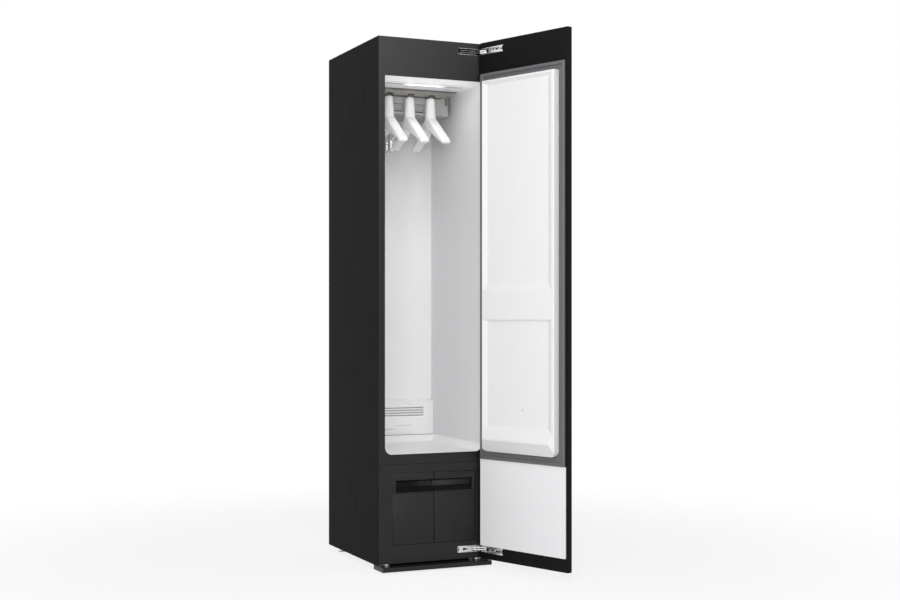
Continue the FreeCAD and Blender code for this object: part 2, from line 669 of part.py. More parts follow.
def plinth():
    """Anti-tip plate under the front edge, with a rear rib that meets the base."""
    half = HALF_WIDTH - PLINTH_SIDE_INSET
    rear = PLINTH_DEPTH - PLINTH_PROJECTION
    middle_z = (PLINTH_BOTTOM_Z + PLINTH_TOP_Z) / 2
    plate = block(-half, half, -PLINTH_PROJECTION, rear, PLINTH_BOTTOM_Z, PLINTH_TOP_Z)
    plate = rounded(plate, PLINTH_EDGE_RADIUS, Vector(1, 0, 0), lambda p: p.y < FRONT_Y and p.z > middle_z)
    inner = FRONT_FEET[1][0] - FOOT_PAD_RADIUS
    rib = block(-inner, inner, rear - PLINTH_RIB, rear, PLINTH_TOP_Z, BASE_Z)
    holes = [upright_cylinder(x, d, PLINTH_BOTTOM_Z - OVERCUT, PLINTH_TOP_Z + OVERCUT,
                              FOOT_STEM_RADIUS + RUNNING_GAP) for x, d in FRONT_FEET]
    return joined(plate, rib).cut(holes)


def foot(x, depth):
    """Levelling foot: pad, adjusting collar and stem, turned as one piece."""
    pad, collar, stem = FOOT_PAD_RADIUS, FOOT_COLLAR_RADIUS, FOOT_STEM_RADIUS
    bevel = FOOT_PAD_BEVEL
    collar_low, collar_top = PLINTH_TOP_Z + RUNNING_GAP, BASE_Z - RUNNING_GAP
    stem_top = BASE_Z + FOOT_STEM_RISE
    return turned(x, depth, [
        (0, 0), (pad - bevel, 0), (pad, bevel), (pad - bevel, FOOT_PAD_HEIGHT), (stem, FOOT_PAD_HEIGHT),
        (stem, collar_low), (collar, collar_low), (collar, collar_top), (stem, collar_top),
        (stem, stem_top), (0, stem_top),
    ])


# --------------------------------------------------------------- treatment chamber
def chamber_side(side):
    """White side wall with a front flange behind the stile."""
    inner = OPENING_HALF_WIDTH
    outer = inner + LINER
    flange = inner + LINER_FLANGE
    outline = [
        (inner, LINER_FRONT), (flange, LINER_FRONT), (flange, LINER_FRONT + LINER),
        (outer, LINER_FRONT + LINER), (outer, CHAMBER_REAR), (inner, CHAMBER_REAR),
    ]
    return plan_prism([(side * x, d) for x, d in outline], TRAY_RIM_Z, CHAMBER_TOP_Z)


def chamber_back():
    """White rear wall between the side walls."""
    return block(-OPENING_HALF_WIDTH, OPENING_HALF_WIDTH, CHAMBER_DEPTH, CHAMBER_REAR,
                 TRAY_RIM_Z, CHAMBER_TOP_Z)


def tub(grow):
    """Return a tub form with coved sides and a coved rear, grown by a wall."""
    half = OPENING_HALF_WIDTH + grow
    low, high = CHAMBER_FLOOR_Z - grow, TRAY_RIM_Z + 2 * CHAMBER_CORNER_RADIUS
    middle_z = (low + high) / 2
    form = block(-half, half, LINER_FRONT, INTAKE_FRONT_DEPTH + grow, low, high)
    form = rounded(form, CHAMBER_CORNER_RADIUS + grow, Vector(0, 1, 0), lambda p: p.z < middle_z)
    rear_y = FRONT_Y + INTAKE_FRONT_DEPTH + grow
    rear_edges = [edge for edge in form.Edges if on_rear_floor(edge, low, rear_y)]
    return form.makeFillet(TRAY_REAR_RADIUS + grow, rear_edges)


def on_rear_floor(edge, low, rear_y):
    """Return whether an edge bounds the tub's rear face below its rim."""
    box = edge.BoundBox
    on_rear = abs(box.YMin - rear_y) < 1e-6 and abs(box.YMax - rear_y) < 1e-6
    return on_rear and box.ZMin < low + 2 * CHAMBER_CORNER_RADIUS and box.ZMax < TRAY_RIM_Z + 1


def chamber_floor():
    """Moulded floor tray with coved sides and rear, open at the front."""
    above = block(-HALF_WIDTH, HALF_WIDTH, LINER_FRONT - OVERCUT, CHAMBER_REAR, TRAY_RIM_Z,
                  TRAY_RIM_Z + 3 * CHAMBER_CORNER_RADIUS)
    return tub(LINER).cut([tub(0), above])


def chamber_ceiling():
    """Ceiling panel: a sloped front lip, a level soffit and the light's slot."""
    t = LINER
    half = OPENING_HALF_WIDTH
    panel = side_prism([
        (LINER_FRONT, CHAMBER_TOP_Z), (CEILING_SLOPE_DEPTH, CEILING_Z), (CHAMBER_DEPTH, CEILING_Z),
        (CHAMBER_DEPTH, CEILING_Z + t), (CEILING_SLOPE_DEPTH, CEILING_Z + t),
        (LINER_FRONT + CEILING_DROP / 2, CHAMBER_TOP_Z + t), (LINER_FRONT, CHAMBER_TOP_Z + t),
    ], -half, half)
    slot = block(-LIGHT_HALF_LENGTH, LIGHT_HALF_LENGTH, LIGHT_DEPTH, LIGHT_DEPTH + LIGHT_WIDTH,
                 CEILING_Z - OVERCUT, CEILING_Z + t + OVERCUT)
    return panel.cut(slot)


def light_lens():
    """Diffuser of the light strip: a flush lens with a flange above the soffit."""
    half, flange = LIGHT_HALF_LENGTH, LENS_FLANGE
    top = CEILING_Z + LINER
    lens = block(-half, half, LIGHT_DEPTH, LIGHT_DEPTH + LIGHT_WIDTH, CEILING_Z, top)
    rim = block(-half - flange, half + flange, LIGHT_DEPTH - flange, LIGHT_DEPTH + LIGHT_WIDTH + flange,
                top, top + LENS_THICKNESS)
    return joined(lens, rim)


# ------------------------------------------------------------ hanger rail, hangers
def hanger_positions():
    """Return the x of each hanger, from left to right."""
    first = -(HANGER_COUNT - 1) / 2
    return [(first + index) * HANGER_PITCH for index in range(HANGER_COUNT)]


def rail_form(inset):
    """Return the rail's hopper form, moved in by a wall: a sloping front and sloping ends."""
    low, high = RAIL_BOTTOM_Z + inset, CEILING_Z - RAIL_REVEAL - inset
    front = slope_line(RAIL_DEPTH + RAIL_FRONT_RUN, -RAIL_FRONT_RUN, inset)
    end = slope_line(-RAIL_HALF_LENGTH + RAIL_END_RUN, -RAIL_END_RUN, inset)
    rear = RAIL_REAR - inset
    along = side_prism([(front(low), low), (front(high), high), (rear, high), (rear, low)],
                       -RAIL_HALF_LENGTH, RAIL_HALF_LENGTH)
    across = front_prism([(end(low), low), (end(high), high), (-end(high), high), (-end(low), low)],
                         RAIL_DEPTH, RAIL_REAR)
    return along.common(across)


def slope_line(foot_place, run, inset):
    """Return the place of one sloping wall of the rail as a function of height."""
    rise = RAIL_HEIGHT - RAIL_REVEAL
    shift = inset * math.hypot(run, rise) / rise
    return lambda z: foot_place + run * (z - RAIL_BOTTOM_Z) / rise + shift


def hanger_rail():
    """Hopper-shaped rail under the soffit; each hanger's head slides in at its lower edge."""
    gap = 2 * RUNNING_GAP
    inset = RAIL_REVEAL_INSET
    seat = block(-RAIL_HALF_LENGTH + inset, RAIL_HALF_LENGTH - inset, RAIL_DEPTH + inset, RAIL_REAR,
                 CEILING_Z - RAIL_REVEAL, CEILING_Z)
    rail = joined(rail_form(0), seat)
    cuts = [rail_form(RAIL_WALL)]
    mouth_rear = RAIL_DEPTH + RAIL_FRONT_RUN
    head_top = HEAD_BOTTOM_Z + HEAD_THICKNESS + HEAD_ROOM
    for x in hanger_positions():
        stem = STEM_WIDTH / 2 + gap
        head = HEAD_WIDTH / 2 + gap
        stop = HANGER_DEPTH + STEM_WIDTH / 2 + RUNNING_GAP
        cuts.append(block(x - stem, x + stem, RAIL_DEPTH, stop, RAIL_BOTTOM_Z - OVERCUT, HEAD_BOTTOM_Z))
        cuts.append(block(x - head, x + head, RAIL_DEPTH, mouth_rear, RAIL_BOTTOM_Z - OVERCUT, head_top))
    return rail.cut(cuts)


def hanger_outline():
    """Return the (depth, z) outline of a hanger's two arms and the arch under them."""
    tip_z = SHOULDER_Z - ARM_TIP_DROP
    front = [
        (ARM_ROOT, SHOULDER_Z), (ARM_HALF_SPAN, tip_z), (ARM_HALF_SPAN, tip_z - ARM_TIP_HEIGHT),
        (0, SHOULDER_Z - ARCH_DROP),
    ]
    rear = [(-offset, z) for offset, z in reversed(front[:-1])]
    return [(HANGER_DEPTH + offset, z) for offset, z in front + rear]


def hanger_arms(x):
    """Return both arms of a hanger, with rounded tips, a rounded arch and soft edges."""
    across = Vector(1, 0, 0)
    arms = side_prism(hanger_outline(), x - ARM_HALF_WIDTH, x + ARM_HALF_WIDTH)
    arch_z = SHOULDER_Z - ARCH_DROP
    low_z = arch_z - ARCH_RADIUS
    arms = rounded(arms, ARM_TIP_RADIUS, across, lambda p: p.z < low_z)
    arms = rounded(arms, ARCH_RADIUS, across, lambda p: low_z < p.z < arch_z + OVERCUT)
    rims = [edge for edge in arms.Edges
            if edge.BoundBox.XLength < OVERCUT and edge.CenterOfMass.z < SHOULDER_Z - OVERCUT]
    return arms.makeFillet(ARM_ROUND, rims)


def hanger_neck(x):
    """Return a hanger's round neck, from inside the arms up to its bevelled crown."""
    neck = upright_cylinder(x, HANGER_DEPTH, SHOULDER_Z - ARCH_DROP / 2, NECK_TOP_Z, NECK_RADIUS)
    crown = [edge for edge in neck.Edges if edge.BoundBox.ZMin > NECK_TOP_Z - OVERCUT]
    return neck.makeChamfer(NECK_TOP_BEVEL, crown)


def hanger(x):
    """Air-blown hanger: T-head, slim stem, round neck and full rounded arms."""
    half_stem = STEM_WIDTH / 2
    stem = block(x - half_stem, x + half_stem, HANGER_DEPTH - half_stem, HANGER_DEPTH + half_stem,
                 NECK_TOP_Z - OVERCUT, HEAD_BOTTOM_Z + HEAD_THICKNESS)
    head = block(x - HEAD_WIDTH / 2, x + HEAD_WIDTH / 2, HANGER_DEPTH - HEAD_FRONT, HANGER_DEPTH + HEAD_REAR,
                 HEAD_BOTTOM_Z, HEAD_BOTTOM_Z + HEAD_THICKNESS)
    return joined(hanger_arms(x), hanger_neck(x), stem, head).cut(air_slots(x))


def arm_underside(offset):
    """Return the height of an arm's underside at a distance from the neck's axis."""
    fall = ARM_TIP_DROP + ARM_TIP_HEIGHT - ARCH_DROP
    return SHOULDER_Z - ARCH_DROP - fall * offset / ARM_HALF_SPAN


def arch_half_width(z):
    """Return half the arch's width between the arms at a height."""
    fall = ARM_TIP_DROP + ARM_TIP_HEIGHT - ARCH_DROP
    return (SHOULDER_Z - ARCH_DROP - z) * ARM_HALF_SPAN / fall


def air_slots(x):
    """Short blind slots under both arms, which blow air into the sleeves."""
    width, length, depth = AIR_SLOT_SIZE
    slots = []
    for side in (-1, 1):
        for index in range(AIR_SLOT_COUNT):
            offset = AIR_SLOT_START + index * AIR_SLOT_PITCH
            z = arm_underside(offset)
            d = HANGER_DEPTH + side * offset
            slots.append(block(x - width / 2, x + width / 2, d - length / 2, d + length / 2,
                               z - depth, z + depth))
    return slots


def along_depth(x, d0, d1, z, radius):
    """Return a cylinder lying along the depth between two depths."""
    return Part.makeCylinder(radius, d1 - d0, Vector(x, FRONT_Y + d0, z), Vector(0, 1, 0))


def clip_bar(x):
    """Steel bar across the trouser hanger's arch, seated in both shoulders."""
    half = arch_half_width(CLIP_BAR_Z) + CLIP_BAR_SEAT
    return along_depth(x, HANGER_DEPTH - half, HANGER_DEPTH + half, CLIP_BAR_Z, CLIP_BAR_RADIUS)


def clip_plate(x, centre, face):
    """Return one bent plate of a clip: squeezing handle, waist and jaw lip."""
    off, t = CLIP_PLATE_OFFSET, CLIP_PLATE
    top, low = CLIP_BAR_Z + CLIP_HANDLE_RISE, CLIP_BAR_Z - CLIP_JAW_DROP
    waist = CLIP_BAR_Z + CLIP_WAIST_RISE
    lip = low + CLIP_LIP
    bend = lip + CLIP_LIP_BEND
    meet = CLIP_CLOSED_GAP / 2
    outline = [
        (off, CLIP_BAR_Z), (off + t / 2, waist), (CLIP_HANDLE_FLARE, top), (CLIP_HANDLE_FLARE + t, top),
        (off + 1.5 * t, waist), (off + t, CLIP_BAR_Z), (off + t, bend), (meet + t, low),
        (meet, low), (meet, lip), (off, bend + CLIP_LIP),
    ]
    half = CLIP_WIDTH / 2
    return front_prism([(x + face * dx, z) for dx, z in outline], centre - half, centre + half)


def clip_half(x, centre, face, eyes, other_eyes):
    """Return one half of a clip: its plate, cleared for the other half's eyes, and its own eyes."""
    gap = CLIP_EYE_GAP
    relief = [along_depth(x, centre + d0 - gap, centre + d1 + gap, CLIP_BAR_Z, CLIP_EYE_RADIUS + gap)
              for d0, d1 in other_eyes]
    rings = [along_depth(x, centre + d0, centre + d1, CLIP_BAR_Z, CLIP_EYE_RADIUS) for d0, d1 in eyes]
    bore = along_depth(x, centre - CLIP_WIDTH, centre + CLIP_WIDTH, CLIP_BAR_Z,
                       CLIP_BAR_RADIUS + PIN_RUNNING_GAP)
    return joined(clip_plate(x, centre, face).cut(relief), *rings).cut(bore)


def clip_eyes():
    """Return the depth spans of the outer eyes and of the middle eye of a clip."""
    half, third = CLIP_WIDTH / 2, CLIP_WIDTH / 6
    outer = [(-half, -third - CLIP_EYE_GAP), (third + CLIP_EYE_GAP, half)]
    return outer, [(-third, third)]


def clip_body(x, centre):
    """Inner half of a trouser clip, held on the bar by an eye at each side."""
    outer, middle = clip_eyes()
    return clip_half(x, centre, -1, outer, middle)


def clip_jaw(x, centre):
    """Outer half of a trouser clip, turning on the bar by its middle eye."""
    outer, middle = clip_eyes()
    return clip_half(x, centre, 1, middle, outer)


# -------------------------------------------------------------- chamber air fittings
def jet_housing():
    """Air outlet housing on the rear wall, with a framed outlet between hangers."""
    half, wall, front = JET_HALF_WIDTH, JET_WALL, JET_FRONT_DEPTH
    middle_y = FRONT_Y + (front + CHAMBER_DEPTH) / 2
    housing = block(-half, half, front, CHAMBER_DEPTH, JET_BOTTOM_Z, CEILING_Z)
    housing = rounded(housing, JET_EDGE_RADIUS, Vector(0, 0, 1), lambda p: p.y < middle_y)
    recess_rear = front + JET_RECESS_DEPTH
    inner_front = recess_rear + wall
    cuts = [block(-half + wall, half - wall, inner_front, CHAMBER_DEPTH + OVERCUT, JET_BOTTOM_Z + wall,
                  CEILING_Z - wall)]
    low, inset, radius = JET_BOTTOM_Z + JET_SILL, JET_SLIT_INSET, JET_RECESS_RADIUS
    for x in (-HANGER_PITCH / 2, HANGER_PITCH / 2):
        x0, x1 = x - JET_RECESS_WIDTH / 2, x + JET_RECESS_WIDTH / 2
        cuts.append(front_plate(x0, x1, low, low + JET_RECESS_HEIGHT, front - OVERCUT, recess_rear,
                                low_radius=radius, high_radius=radius))
        cuts.append(block(x0 + inset, x1 - inset, recess_rear - OVERCUT, inner_front + OVERCUT,
                          low, low + JET_SLIT_HEIGHT))
    half_notch = JET_NOTCH_WIDTH / 2
    for side in (-1, 1):
        x = side * (half - JET_NOTCH_INSET - half_notch)
        cuts.append(block(x - half_notch, x + half_notch, front - OVERCUT, recess_rear,
                          JET_NOTCH_Z, JET_NOTCH_Z + JET_NOTCH_HEIGHT))
    return housing.cut(cuts)


def intake_cover():
    """Lower rear cover with a louvred intake and the mouth of the lint filter."""
    half = OPENING_HALF_WIDTH - RUNNING_GAP
    front, rear, wall = INTAKE_FRONT_DEPTH, CHAMBER_DEPTH, INTAKE_WALL
    low, high, slope = INTAKE_BOTTOM_Z, INTAKE_TOP_Z, INTAKE_SLOPE
    through = (front - OVERCUT, front + wall + OVERCUT)
    outline = [(front, low), (front, high - slope), (front + slope, high), (rear, high), (rear, low)]
    outer = side_prism(outline, -half, half)
    inner = side_prism([
        (front + wall, low + wall), (front + wall, high - slope), (front + slope, high - wall),
        (rear + OVERCUT, high - wall), (rear + OVERCUT, low + wall),
    ], -half + wall, half - wall)
    cuts = [inner]
    for row in range(LOUVRE_SLOT_COUNT):
        z = LOUVRE_BOTTOM_Z + row * LOUVRE_SLOT_PITCH
        slot = [(through[0], z), (through[0], z + LOUVRE_SLOT_HEIGHT),
                (through[1], z + LOUVRE_SLOT_HEIGHT + LOUVRE_SLOT_RISE), (through[1], z + LOUVRE_SLOT_RISE)]
        cuts.append(side_prism(slot, -LOUVRE_HALF_WIDTH, LOUVRE_HALF_WIDTH))
    mouth = FILTER_HALF_WIDTH + RUNNING_GAP
    cuts.append(block(-mouth, mouth, *through, FILTER_BOTTOM_Z - RUNNING_GAP, FILTER_TOP_Z + RUNNING_GAP))
    cuts.append(upright_cylinder(NOZZLE_X, rear - NOZZLE_INSET, high - wall - OVERCUT, high + OVERCUT,
                                 NOZZLE_RADIUS - NOZZLE_WALL))
    return outer.cut(cuts)


def steam_nozzle():
    """Turned steam outlet on top of the intake cover."""
    base, r, bore = INTAKE_TOP_Z, NOZZLE_RADIUS, NOZZLE_BORE
    spigot, foot_z = r - NOZZLE_WALL, base - INTAKE_WALL - NOZZLE_WALL
    return turned(NOZZLE_X, CHAMBER_DEPTH - NOZZLE_INSET, [
        (bore, foot_z), (spigot, foot_z), (spigot, base), (r, base), (r, base + NOZZLE_LENGTH / 3),
        (r / 2, base + NOZZLE_LENGTH), (bore, base + NOZZLE_LENGTH),
    ])


def lint_filter():
    """Pull-out filter cassette: a front with a grip lip and a slatted tray."""
    half, wall = FILTER_HALF_WIDTH, FILTER_WALL
    front = INTAKE_FRONT_DEPTH - FILTER_PROUD
    rear = CHAMBER_DEPTH - RUNNING_GAP
    low, high = FILTER_BOTTOM_Z, FILTER_TOP_Z
    body = block(-half, half, front, rear, low, high)
    hollow = block(-half + wall, half - wall, front + wall + FILTER_PROUD, rear + OVERCUT,
                   low + wall, high - wall)
    grip_top = high - FILTER_GRIP_DROP
    grip = block(-FILTER_GRIP_HALF_WIDTH, FILTER_GRIP_HALF_WIDTH, front - FILTER_GRIP_PULL, front,
                 grip_top - FILTER_GRIP_THICKNESS, grip_top)
    grip_y = FRONT_Y + front - FILTER_GRIP_PULL / 2
    grip = rounded(grip, FILTER_GRIP_RADIUS, Vector(0, 0, 1), lambda p: p.y < grip_y)
    step = 2 * (half - wall) / (FILTER_SLAT_COUNT + 1)
    slats = []
    for index in range(FILTER_SLAT_COUNT):
        x = -half + wall + (index + 1) * step
        slats.append(block(x - FILTER_SLAT / 2, x + FILTER_SLAT / 2, front + wall, rear,
                           low + wall / 2, high - wall / 2))
    return joined(body.cut(hollow), grip, *slats)


# ------------------------------------------------------------------------ tanks
def tank_span(side):
    """Return the inner and outer x of one tank, the lower first."""
    ends = (side * TANK_SEAM / 2, side * TANK_PAIR_HALF_WIDTH)
    return min(ends), max(ends)


def tank_front(side):
    """Black tank front with its half of the shared grip recess and a rounded centre seam."""
    x0, x1 = tank_span(side)
    wall, thick = TANK_WALL, TANK_FRONT_THICKNESS
    seam_x = side * TANK_SEAM / 2
    front = block(x0, x1, 0, thick, TANK_BOTTOM_Z, TANK_TOP_Z)
    front = rounded(front, TANK_SEAM_ROUND, Vector(0, 0, 1),
                    lambda p: p.y < FRONT_Y + thick / 2 and abs(p.x) < TANK_PAIR_HALF_WIDTH / 2)
    hollow = block(x0 + wall, x1 - wall, wall, thick + OVERCUT,
                   TANK_BOTTOM_Z + wall, GRIP_BOTTOM_Z - 2 * wall)
    ends = sorted((0, side * GRIP_HALF_WIDTH))
    grip = side_prism([
        (-OVERCUT, GRIP_TOP_Z), (GRIP_LIP, GRIP_TOP_Z), (GRIP_DEPTH, GRIP_TOP_Z - GRIP_CEILING_DROP),
        (GRIP_DEPTH, GRIP_BOTTOM_Z + GRIP_FLOOR_RISE), (GRIP_LIP, GRIP_BOTTOM_Z + TANK_GROOVE),
        (-OVERCUT, GRIP_BOTTOM_Z),
    ], *ends)
    notch_ends = sorted((0, seam_x + side * TANK_SEAM_NOTCH))
    notch = block(*notch_ends, -OVERCUT, GRIP_LIP, GRIP_TOP_Z - OVERCUT, TANK_TOP_Z + OVERCUT)
    groove_z = GRIP_BOTTOM_Z - TANK_GROOVE_DROP
    groove = block(x0 - OVERCUT, x1 + OVERCUT, -OVERCUT, TANK_GROOVE, groove_z - TANK_GROOVE, groove_z)
    return front.cut([hollow, grip, notch, groove])


def tank_shell(side, low, high, inset=0.0):
    """Return the form behind a tank's front, moved in by a wall."""
    x0, x1 = tank_span(side)
    clear = TANK_SIDE_CLEARANCE + inset
    middle_y = FRONT_Y + (TANK_FRONT_THICKNESS + TANK_DEPTH) / 2
    form = block(x0 + clear, x1 - clear, TANK_FRONT_THICKNESS + inset, TANK_DEPTH - inset, low, high)
    return rounded(form, TANK_CORNER - inset, Vector(0, 0, 1), lambda p: p.y > middle_y)


def tank_body(side):
    """Translucent tank, open at the top."""
    high = TANK_TOP_Z - TANK_LID_HEIGHT
    hollow = tank_shell(side, TANK_BOTTOM_Z + TANK_WALL, high + OVERCUT, inset=TANK_WALL)
    return tank_shell(side, TANK_BOTTOM_Z, high).cut(hollow)


def tank_lid(side):
    """Tank lid with a round filler cap."""
    low = TANK_TOP_Z - TANK_LID_HEIGHT
    lid = tank_shell(side, low, low + TANK_LID_SHEET)
    cap = upright_cylinder(sum(tank_span(side)) / 2, (TANK_FRONT_THICKNESS + TANK_DEPTH) / 2,
                           low + TANK_LID_SHEET, TANK_TOP_Z - TANK_OPENING_GAP, TANK_CAP_RADIUS)
    return joined(lid, cap)


def tank_bay():
    """Moulded bay behind the lower fascia that both tanks slide into."""
    gap, wall, front = TANK_OPENING_GAP, BAY_WALL, FASCIA_THICKNESS
    half = TANK_PAIR_HALF_WIDTH + gap
    low, high = TANK_BOTTOM_Z - RUNNING_GAP, TANK_TOP_Z + gap
    rear = TANK_DEPTH + gap
    shell = block(-half - wall, half + wall, front, BAY_REAR_DEPTH, low - wall, high + wall)
    shell = shell.cut(block(-half, half, front - OVERCUT, rear, low, high))
    leg = BAY_LEG_WIDTH / 2
    legs = [block(x - leg, x + leg, front + BAY_LEG_INSET, rear, BASE_FLOOR_Z, low - wall)
            for x in (-half + BAY_LEG_INSET, half - BAY_LEG_INSET)]
    return joined(shell, *legs)


# ------------------------------------------------------------------------- door
def door_x(distance):
    """Return the x of a point on the closed door, measured from its hinge edge."""
    return HINGE_EDGE_X - distance


def door_depth(height):
    """Return the depth of a point at a height above the closed door's inner face."""
    return DOOR_INNER_DEPTH + height


def door_block(t0, t1, h0, h1, z0, z1):
    """Return a box on the closed door."""
    return block(door_x(t1), door_x(t0), door_depth(h0), door_depth(h1), z0, z1)


def hinge_pocket(hinge_z, grow=0.0):
    """Room in the door's edge for one hinge, open to the inner face and the edge."""
    half = HINGE_HALF_HEIGHT + RUNNING_GAP + grow
    end = BRACKET_WEB + BRACKET_WEB_THICKNESS + grow
    return door_block(-OVERCUT, end, -POCKET_DEPTH, OVERCUT, hinge_z - half, hinge_z + half)


def bracket_recess(hinge_z, grow=0.0):
    """Shallow seat in the door's inner face for a bracket's plate."""
    half = HINGE_HALF_HEIGHT + grow
    return door_block(BRACKET_WEB, BRACKET_END + grow, -BRACKET_PLATE - grow, OVERCUT,
                      hinge_z - half, hinge_z + half)


def door_frame():
    """Black door pan: the inner face and four edges, with both hinge pockets."""
    wall, deep = DOOR_WALL, DOOR_FRAME_DEPTH
    middle_y = FRONT_Y + door_depth(-deep / 2)
    hinge_side = DOOR_HINGE_EDGE_RADIUS
    pan = door_block(0, DOOR_WIDTH, -deep, 0, DOOR_BOTTOM_Z, CABINET_HEIGHT)
    pan = rounded(pan, hinge_side, Vector(0, 0, 1), lambda p: p.x > 0 and p.y > middle_y)
    pan = rounded(pan, DOOR_FREE_EDGE_RADIUS, Vector(0, 0, 1), lambda p: p.x < 0 and p.y > middle_y)
    hollow = door_block(hinge_side, DOOR_WIDTH - wall, -deep - OVERCUT, -wall,
                        DOOR_BOTTOM_Z + wall, CABINET_HEIGHT - wall)
    hinges = (HINGE_TOP_Z, HINGE_BOTTOM_Z)
    hollow = hollow.cut([hinge_pocket(z, grow=wall) for z in hinges] +
                        [bracket_recess(z, grow=wall) for z in hinges])
    return pan.cut([hollow] + [hinge_pocket(z) for z in hinges] + [bracket_recess(z) for z in hinges])


def door_glass():
    """Back-painted outer door panel."""
    inset, rear = DOOR_GLASS_INSET, -DOOR_FRAME_DEPTH
    middle_y = FRONT_Y + door_depth(rear - DOOR_GLASS / 2)
    panel = door_block(inset, DOOR_WIDTH - inset, rear - DOOR_GLASS, rear,
                       DOOR_BOTTOM_Z + inset, CABINET_HEIGHT - inset)
    return rounded(panel, DOOR_GLASS_RADIUS, Vector(0, 0, 1), lambda p: p.y < middle_y)


def plug_profile(inset):
    """Return the (depth, z) outline of the liner plug, moved in by a wall."""
    face = PLUG_HEIGHT - inset
    lip = LEDGE_HEIGHT - inset
    base = -OVERCUT if inset else 0
    low, high = PLUG_BOTTOM_Z + inset, PLUG_TOP_Z - inset
    points = [
        (base, low), (face - PLUG_FOOT_BEVEL, low), (face, PLUG_BOTTOM_Z + LEDGE_ROOT_RISE),
        (lip - PLUG_EDGE, LEDGE_LIP_Z), (lip, LEDGE_LIP_Z + PLUG_EDGE), (lip, LEDGE_LIP_TOP_Z - inset / 2),
        (face, LEDGE_TOP_Z), (face, high - PLUG_EDGE), (face - PLUG_EDGE, high), (base, high),
    ]
    return [(door_depth(h), z) for h, z in points]


def field_cut(profile, grow):
    """Return a recessed field of the liner's face, with sloping sides, grown by a wall."""
    floor = PLUG_HEIGHT - FIELD_DEPTH - grow
    above = LEDGE_HEIGHT + OVERCUT
    t0, t1 = PLUG_HINGE_EDGE + RIM_WIDTH - grow, PLUG_FREE_EDGE - RIM_WIDTH + grow
    x_free, x_hinge = door_x(t1), door_x(t0)
    z_values = [z for _, z in profile]
    along = side_prism([(door_depth(h), z) for h, z in profile], x_free, x_hinge)
    across = plan_prism([
        (x_hinge, door_depth(above)), (x_hinge, door_depth(PLUG_HEIGHT)),
        (x_hinge - RIM_SLOPE, door_depth(floor)),
        (x_free + RIM_SLOPE, door_depth(floor)),
        (x_free, door_depth(PLUG_HEIGHT)), (x_free, door_depth(above)),
    ], min(z_values), max(z_values))
    return along.common(across)


def upper_field(grow=0.0):
    """Recessed field between the liner's top rim and its cross band."""
    face, floor, above = PLUG_HEIGHT, PLUG_HEIGHT - FIELD_DEPTH - grow, PLUG_HEIGHT + OVERCUT
    low, high = BAND_TOP_Z - grow, PLUG_TOP_Z - FIELD_TOP_RIM + grow
    return field_cut([(above, low), (face, low), (floor, low + BAND_UPPER_SLOPE),
                      (floor, high - FIELD_TOP_SLOPE), (face, high), (above, high)], grow)


def lower_field(grow=0.0):
    """Recessed field between the liner's cross band and its drip ledge."""
    face, floor = PLUG_HEIGHT, PLUG_HEIGHT - FIELD_DEPTH - grow
    high = BAND_BOTTOM_Z + grow
    fall = LEDGE_SLOPE_RISE / (LEDGE_HEIGHT - PLUG_HEIGHT)
    ledge_z = LEDGE_TOP_Z - grow
    return field_cut([(face + OVERCUT, ledge_z - fall * OVERCUT), (floor, ledge_z + fall * (face - floor)),
                      (floor, high - BAND_LOWER_SLOPE), (face, high), (face + OVERCUT, high)], grow)


def plug_body(inset):
    """Return the liner plug's solid form, moved in by a wall on its open sides."""
    x_hinge, x_free = door_x(PLUG_HINGE_EDGE + inset), door_x(PLUG_FREE_EDGE - inset)
    body = side_prism(plug_profile(inset), x_free, x_hinge)
    low = door_depth(-2 * OVERCUT)
    high = door_depth(LEDGE_HEIGHT + 2 * OVERCUT)
    outline = front_plate(x_free, x_hinge, PLUG_BOTTOM_Z + inset, PLUG_TOP_Z - inset, low, high,
                          low_radius=PLUG_LOWER_CORNER - inset)
    face = door_depth(PLUG_HEIGHT - inset)
    edge = door_depth(PLUG_HEIGHT - inset - PLUG_EDGE)
    taper = LEDGE_END_TAPER
    sides = plan_prism([
        (x_free, low), (x_free, edge), (x_free + PLUG_EDGE, face), (x_free + taper, high),
        (x_hinge - taper, high), (x_hinge - PLUG_EDGE, face), (x_hinge, edge), (x_hinge, low),
    ], PLUG_BOTTOM_Z, PLUG_TOP_Z)
    return body.common(outline).common(sides)


def door_liner():
    """White liner plug: a rim around two recessed fields, a cross band, a drain hole and a drip ledge."""
    cavity = plug_body(PLUG_WALL).cut([upper_field(PLUG_WALL), lower_field(PLUG_WALL)])
    floor_y = FRONT_Y + door_depth(PLUG_HEIGHT - FIELD_DEPTH)
    middle_x = door_x((PLUG_HINGE_EDGE + PLUG_FREE_EDGE) / 2)
    hole_z = PLUG_BOTTOM_Z + DRAIN_HOLE_RISE
    hole_place = Vector(middle_x - DRAIN_HOLE_OFFSET, floor_y - 2 * PLUG_WALL, hole_z)
    hole = Part.makeCylinder(DRAIN_HOLE_RADIUS, 4 * PLUG_WALL, hole_place, Vector(0, 1, 0))
    return plug_body(0).cut([upper_field(), lower_field(), cavity, hole])


def ring(t0, t1, z0, z1, width, h0, h1):
    """Return a rectangular frame on the closed door's inner face."""
    outer = door_block(t0, t1, h0, h1, z0, z1)
    inner = door_block(t0 + width, t1 - width, h0 - OVERCUT, h1 + OVERCUT, z0 + width, z1 - width)
    return outer.cut(inner)


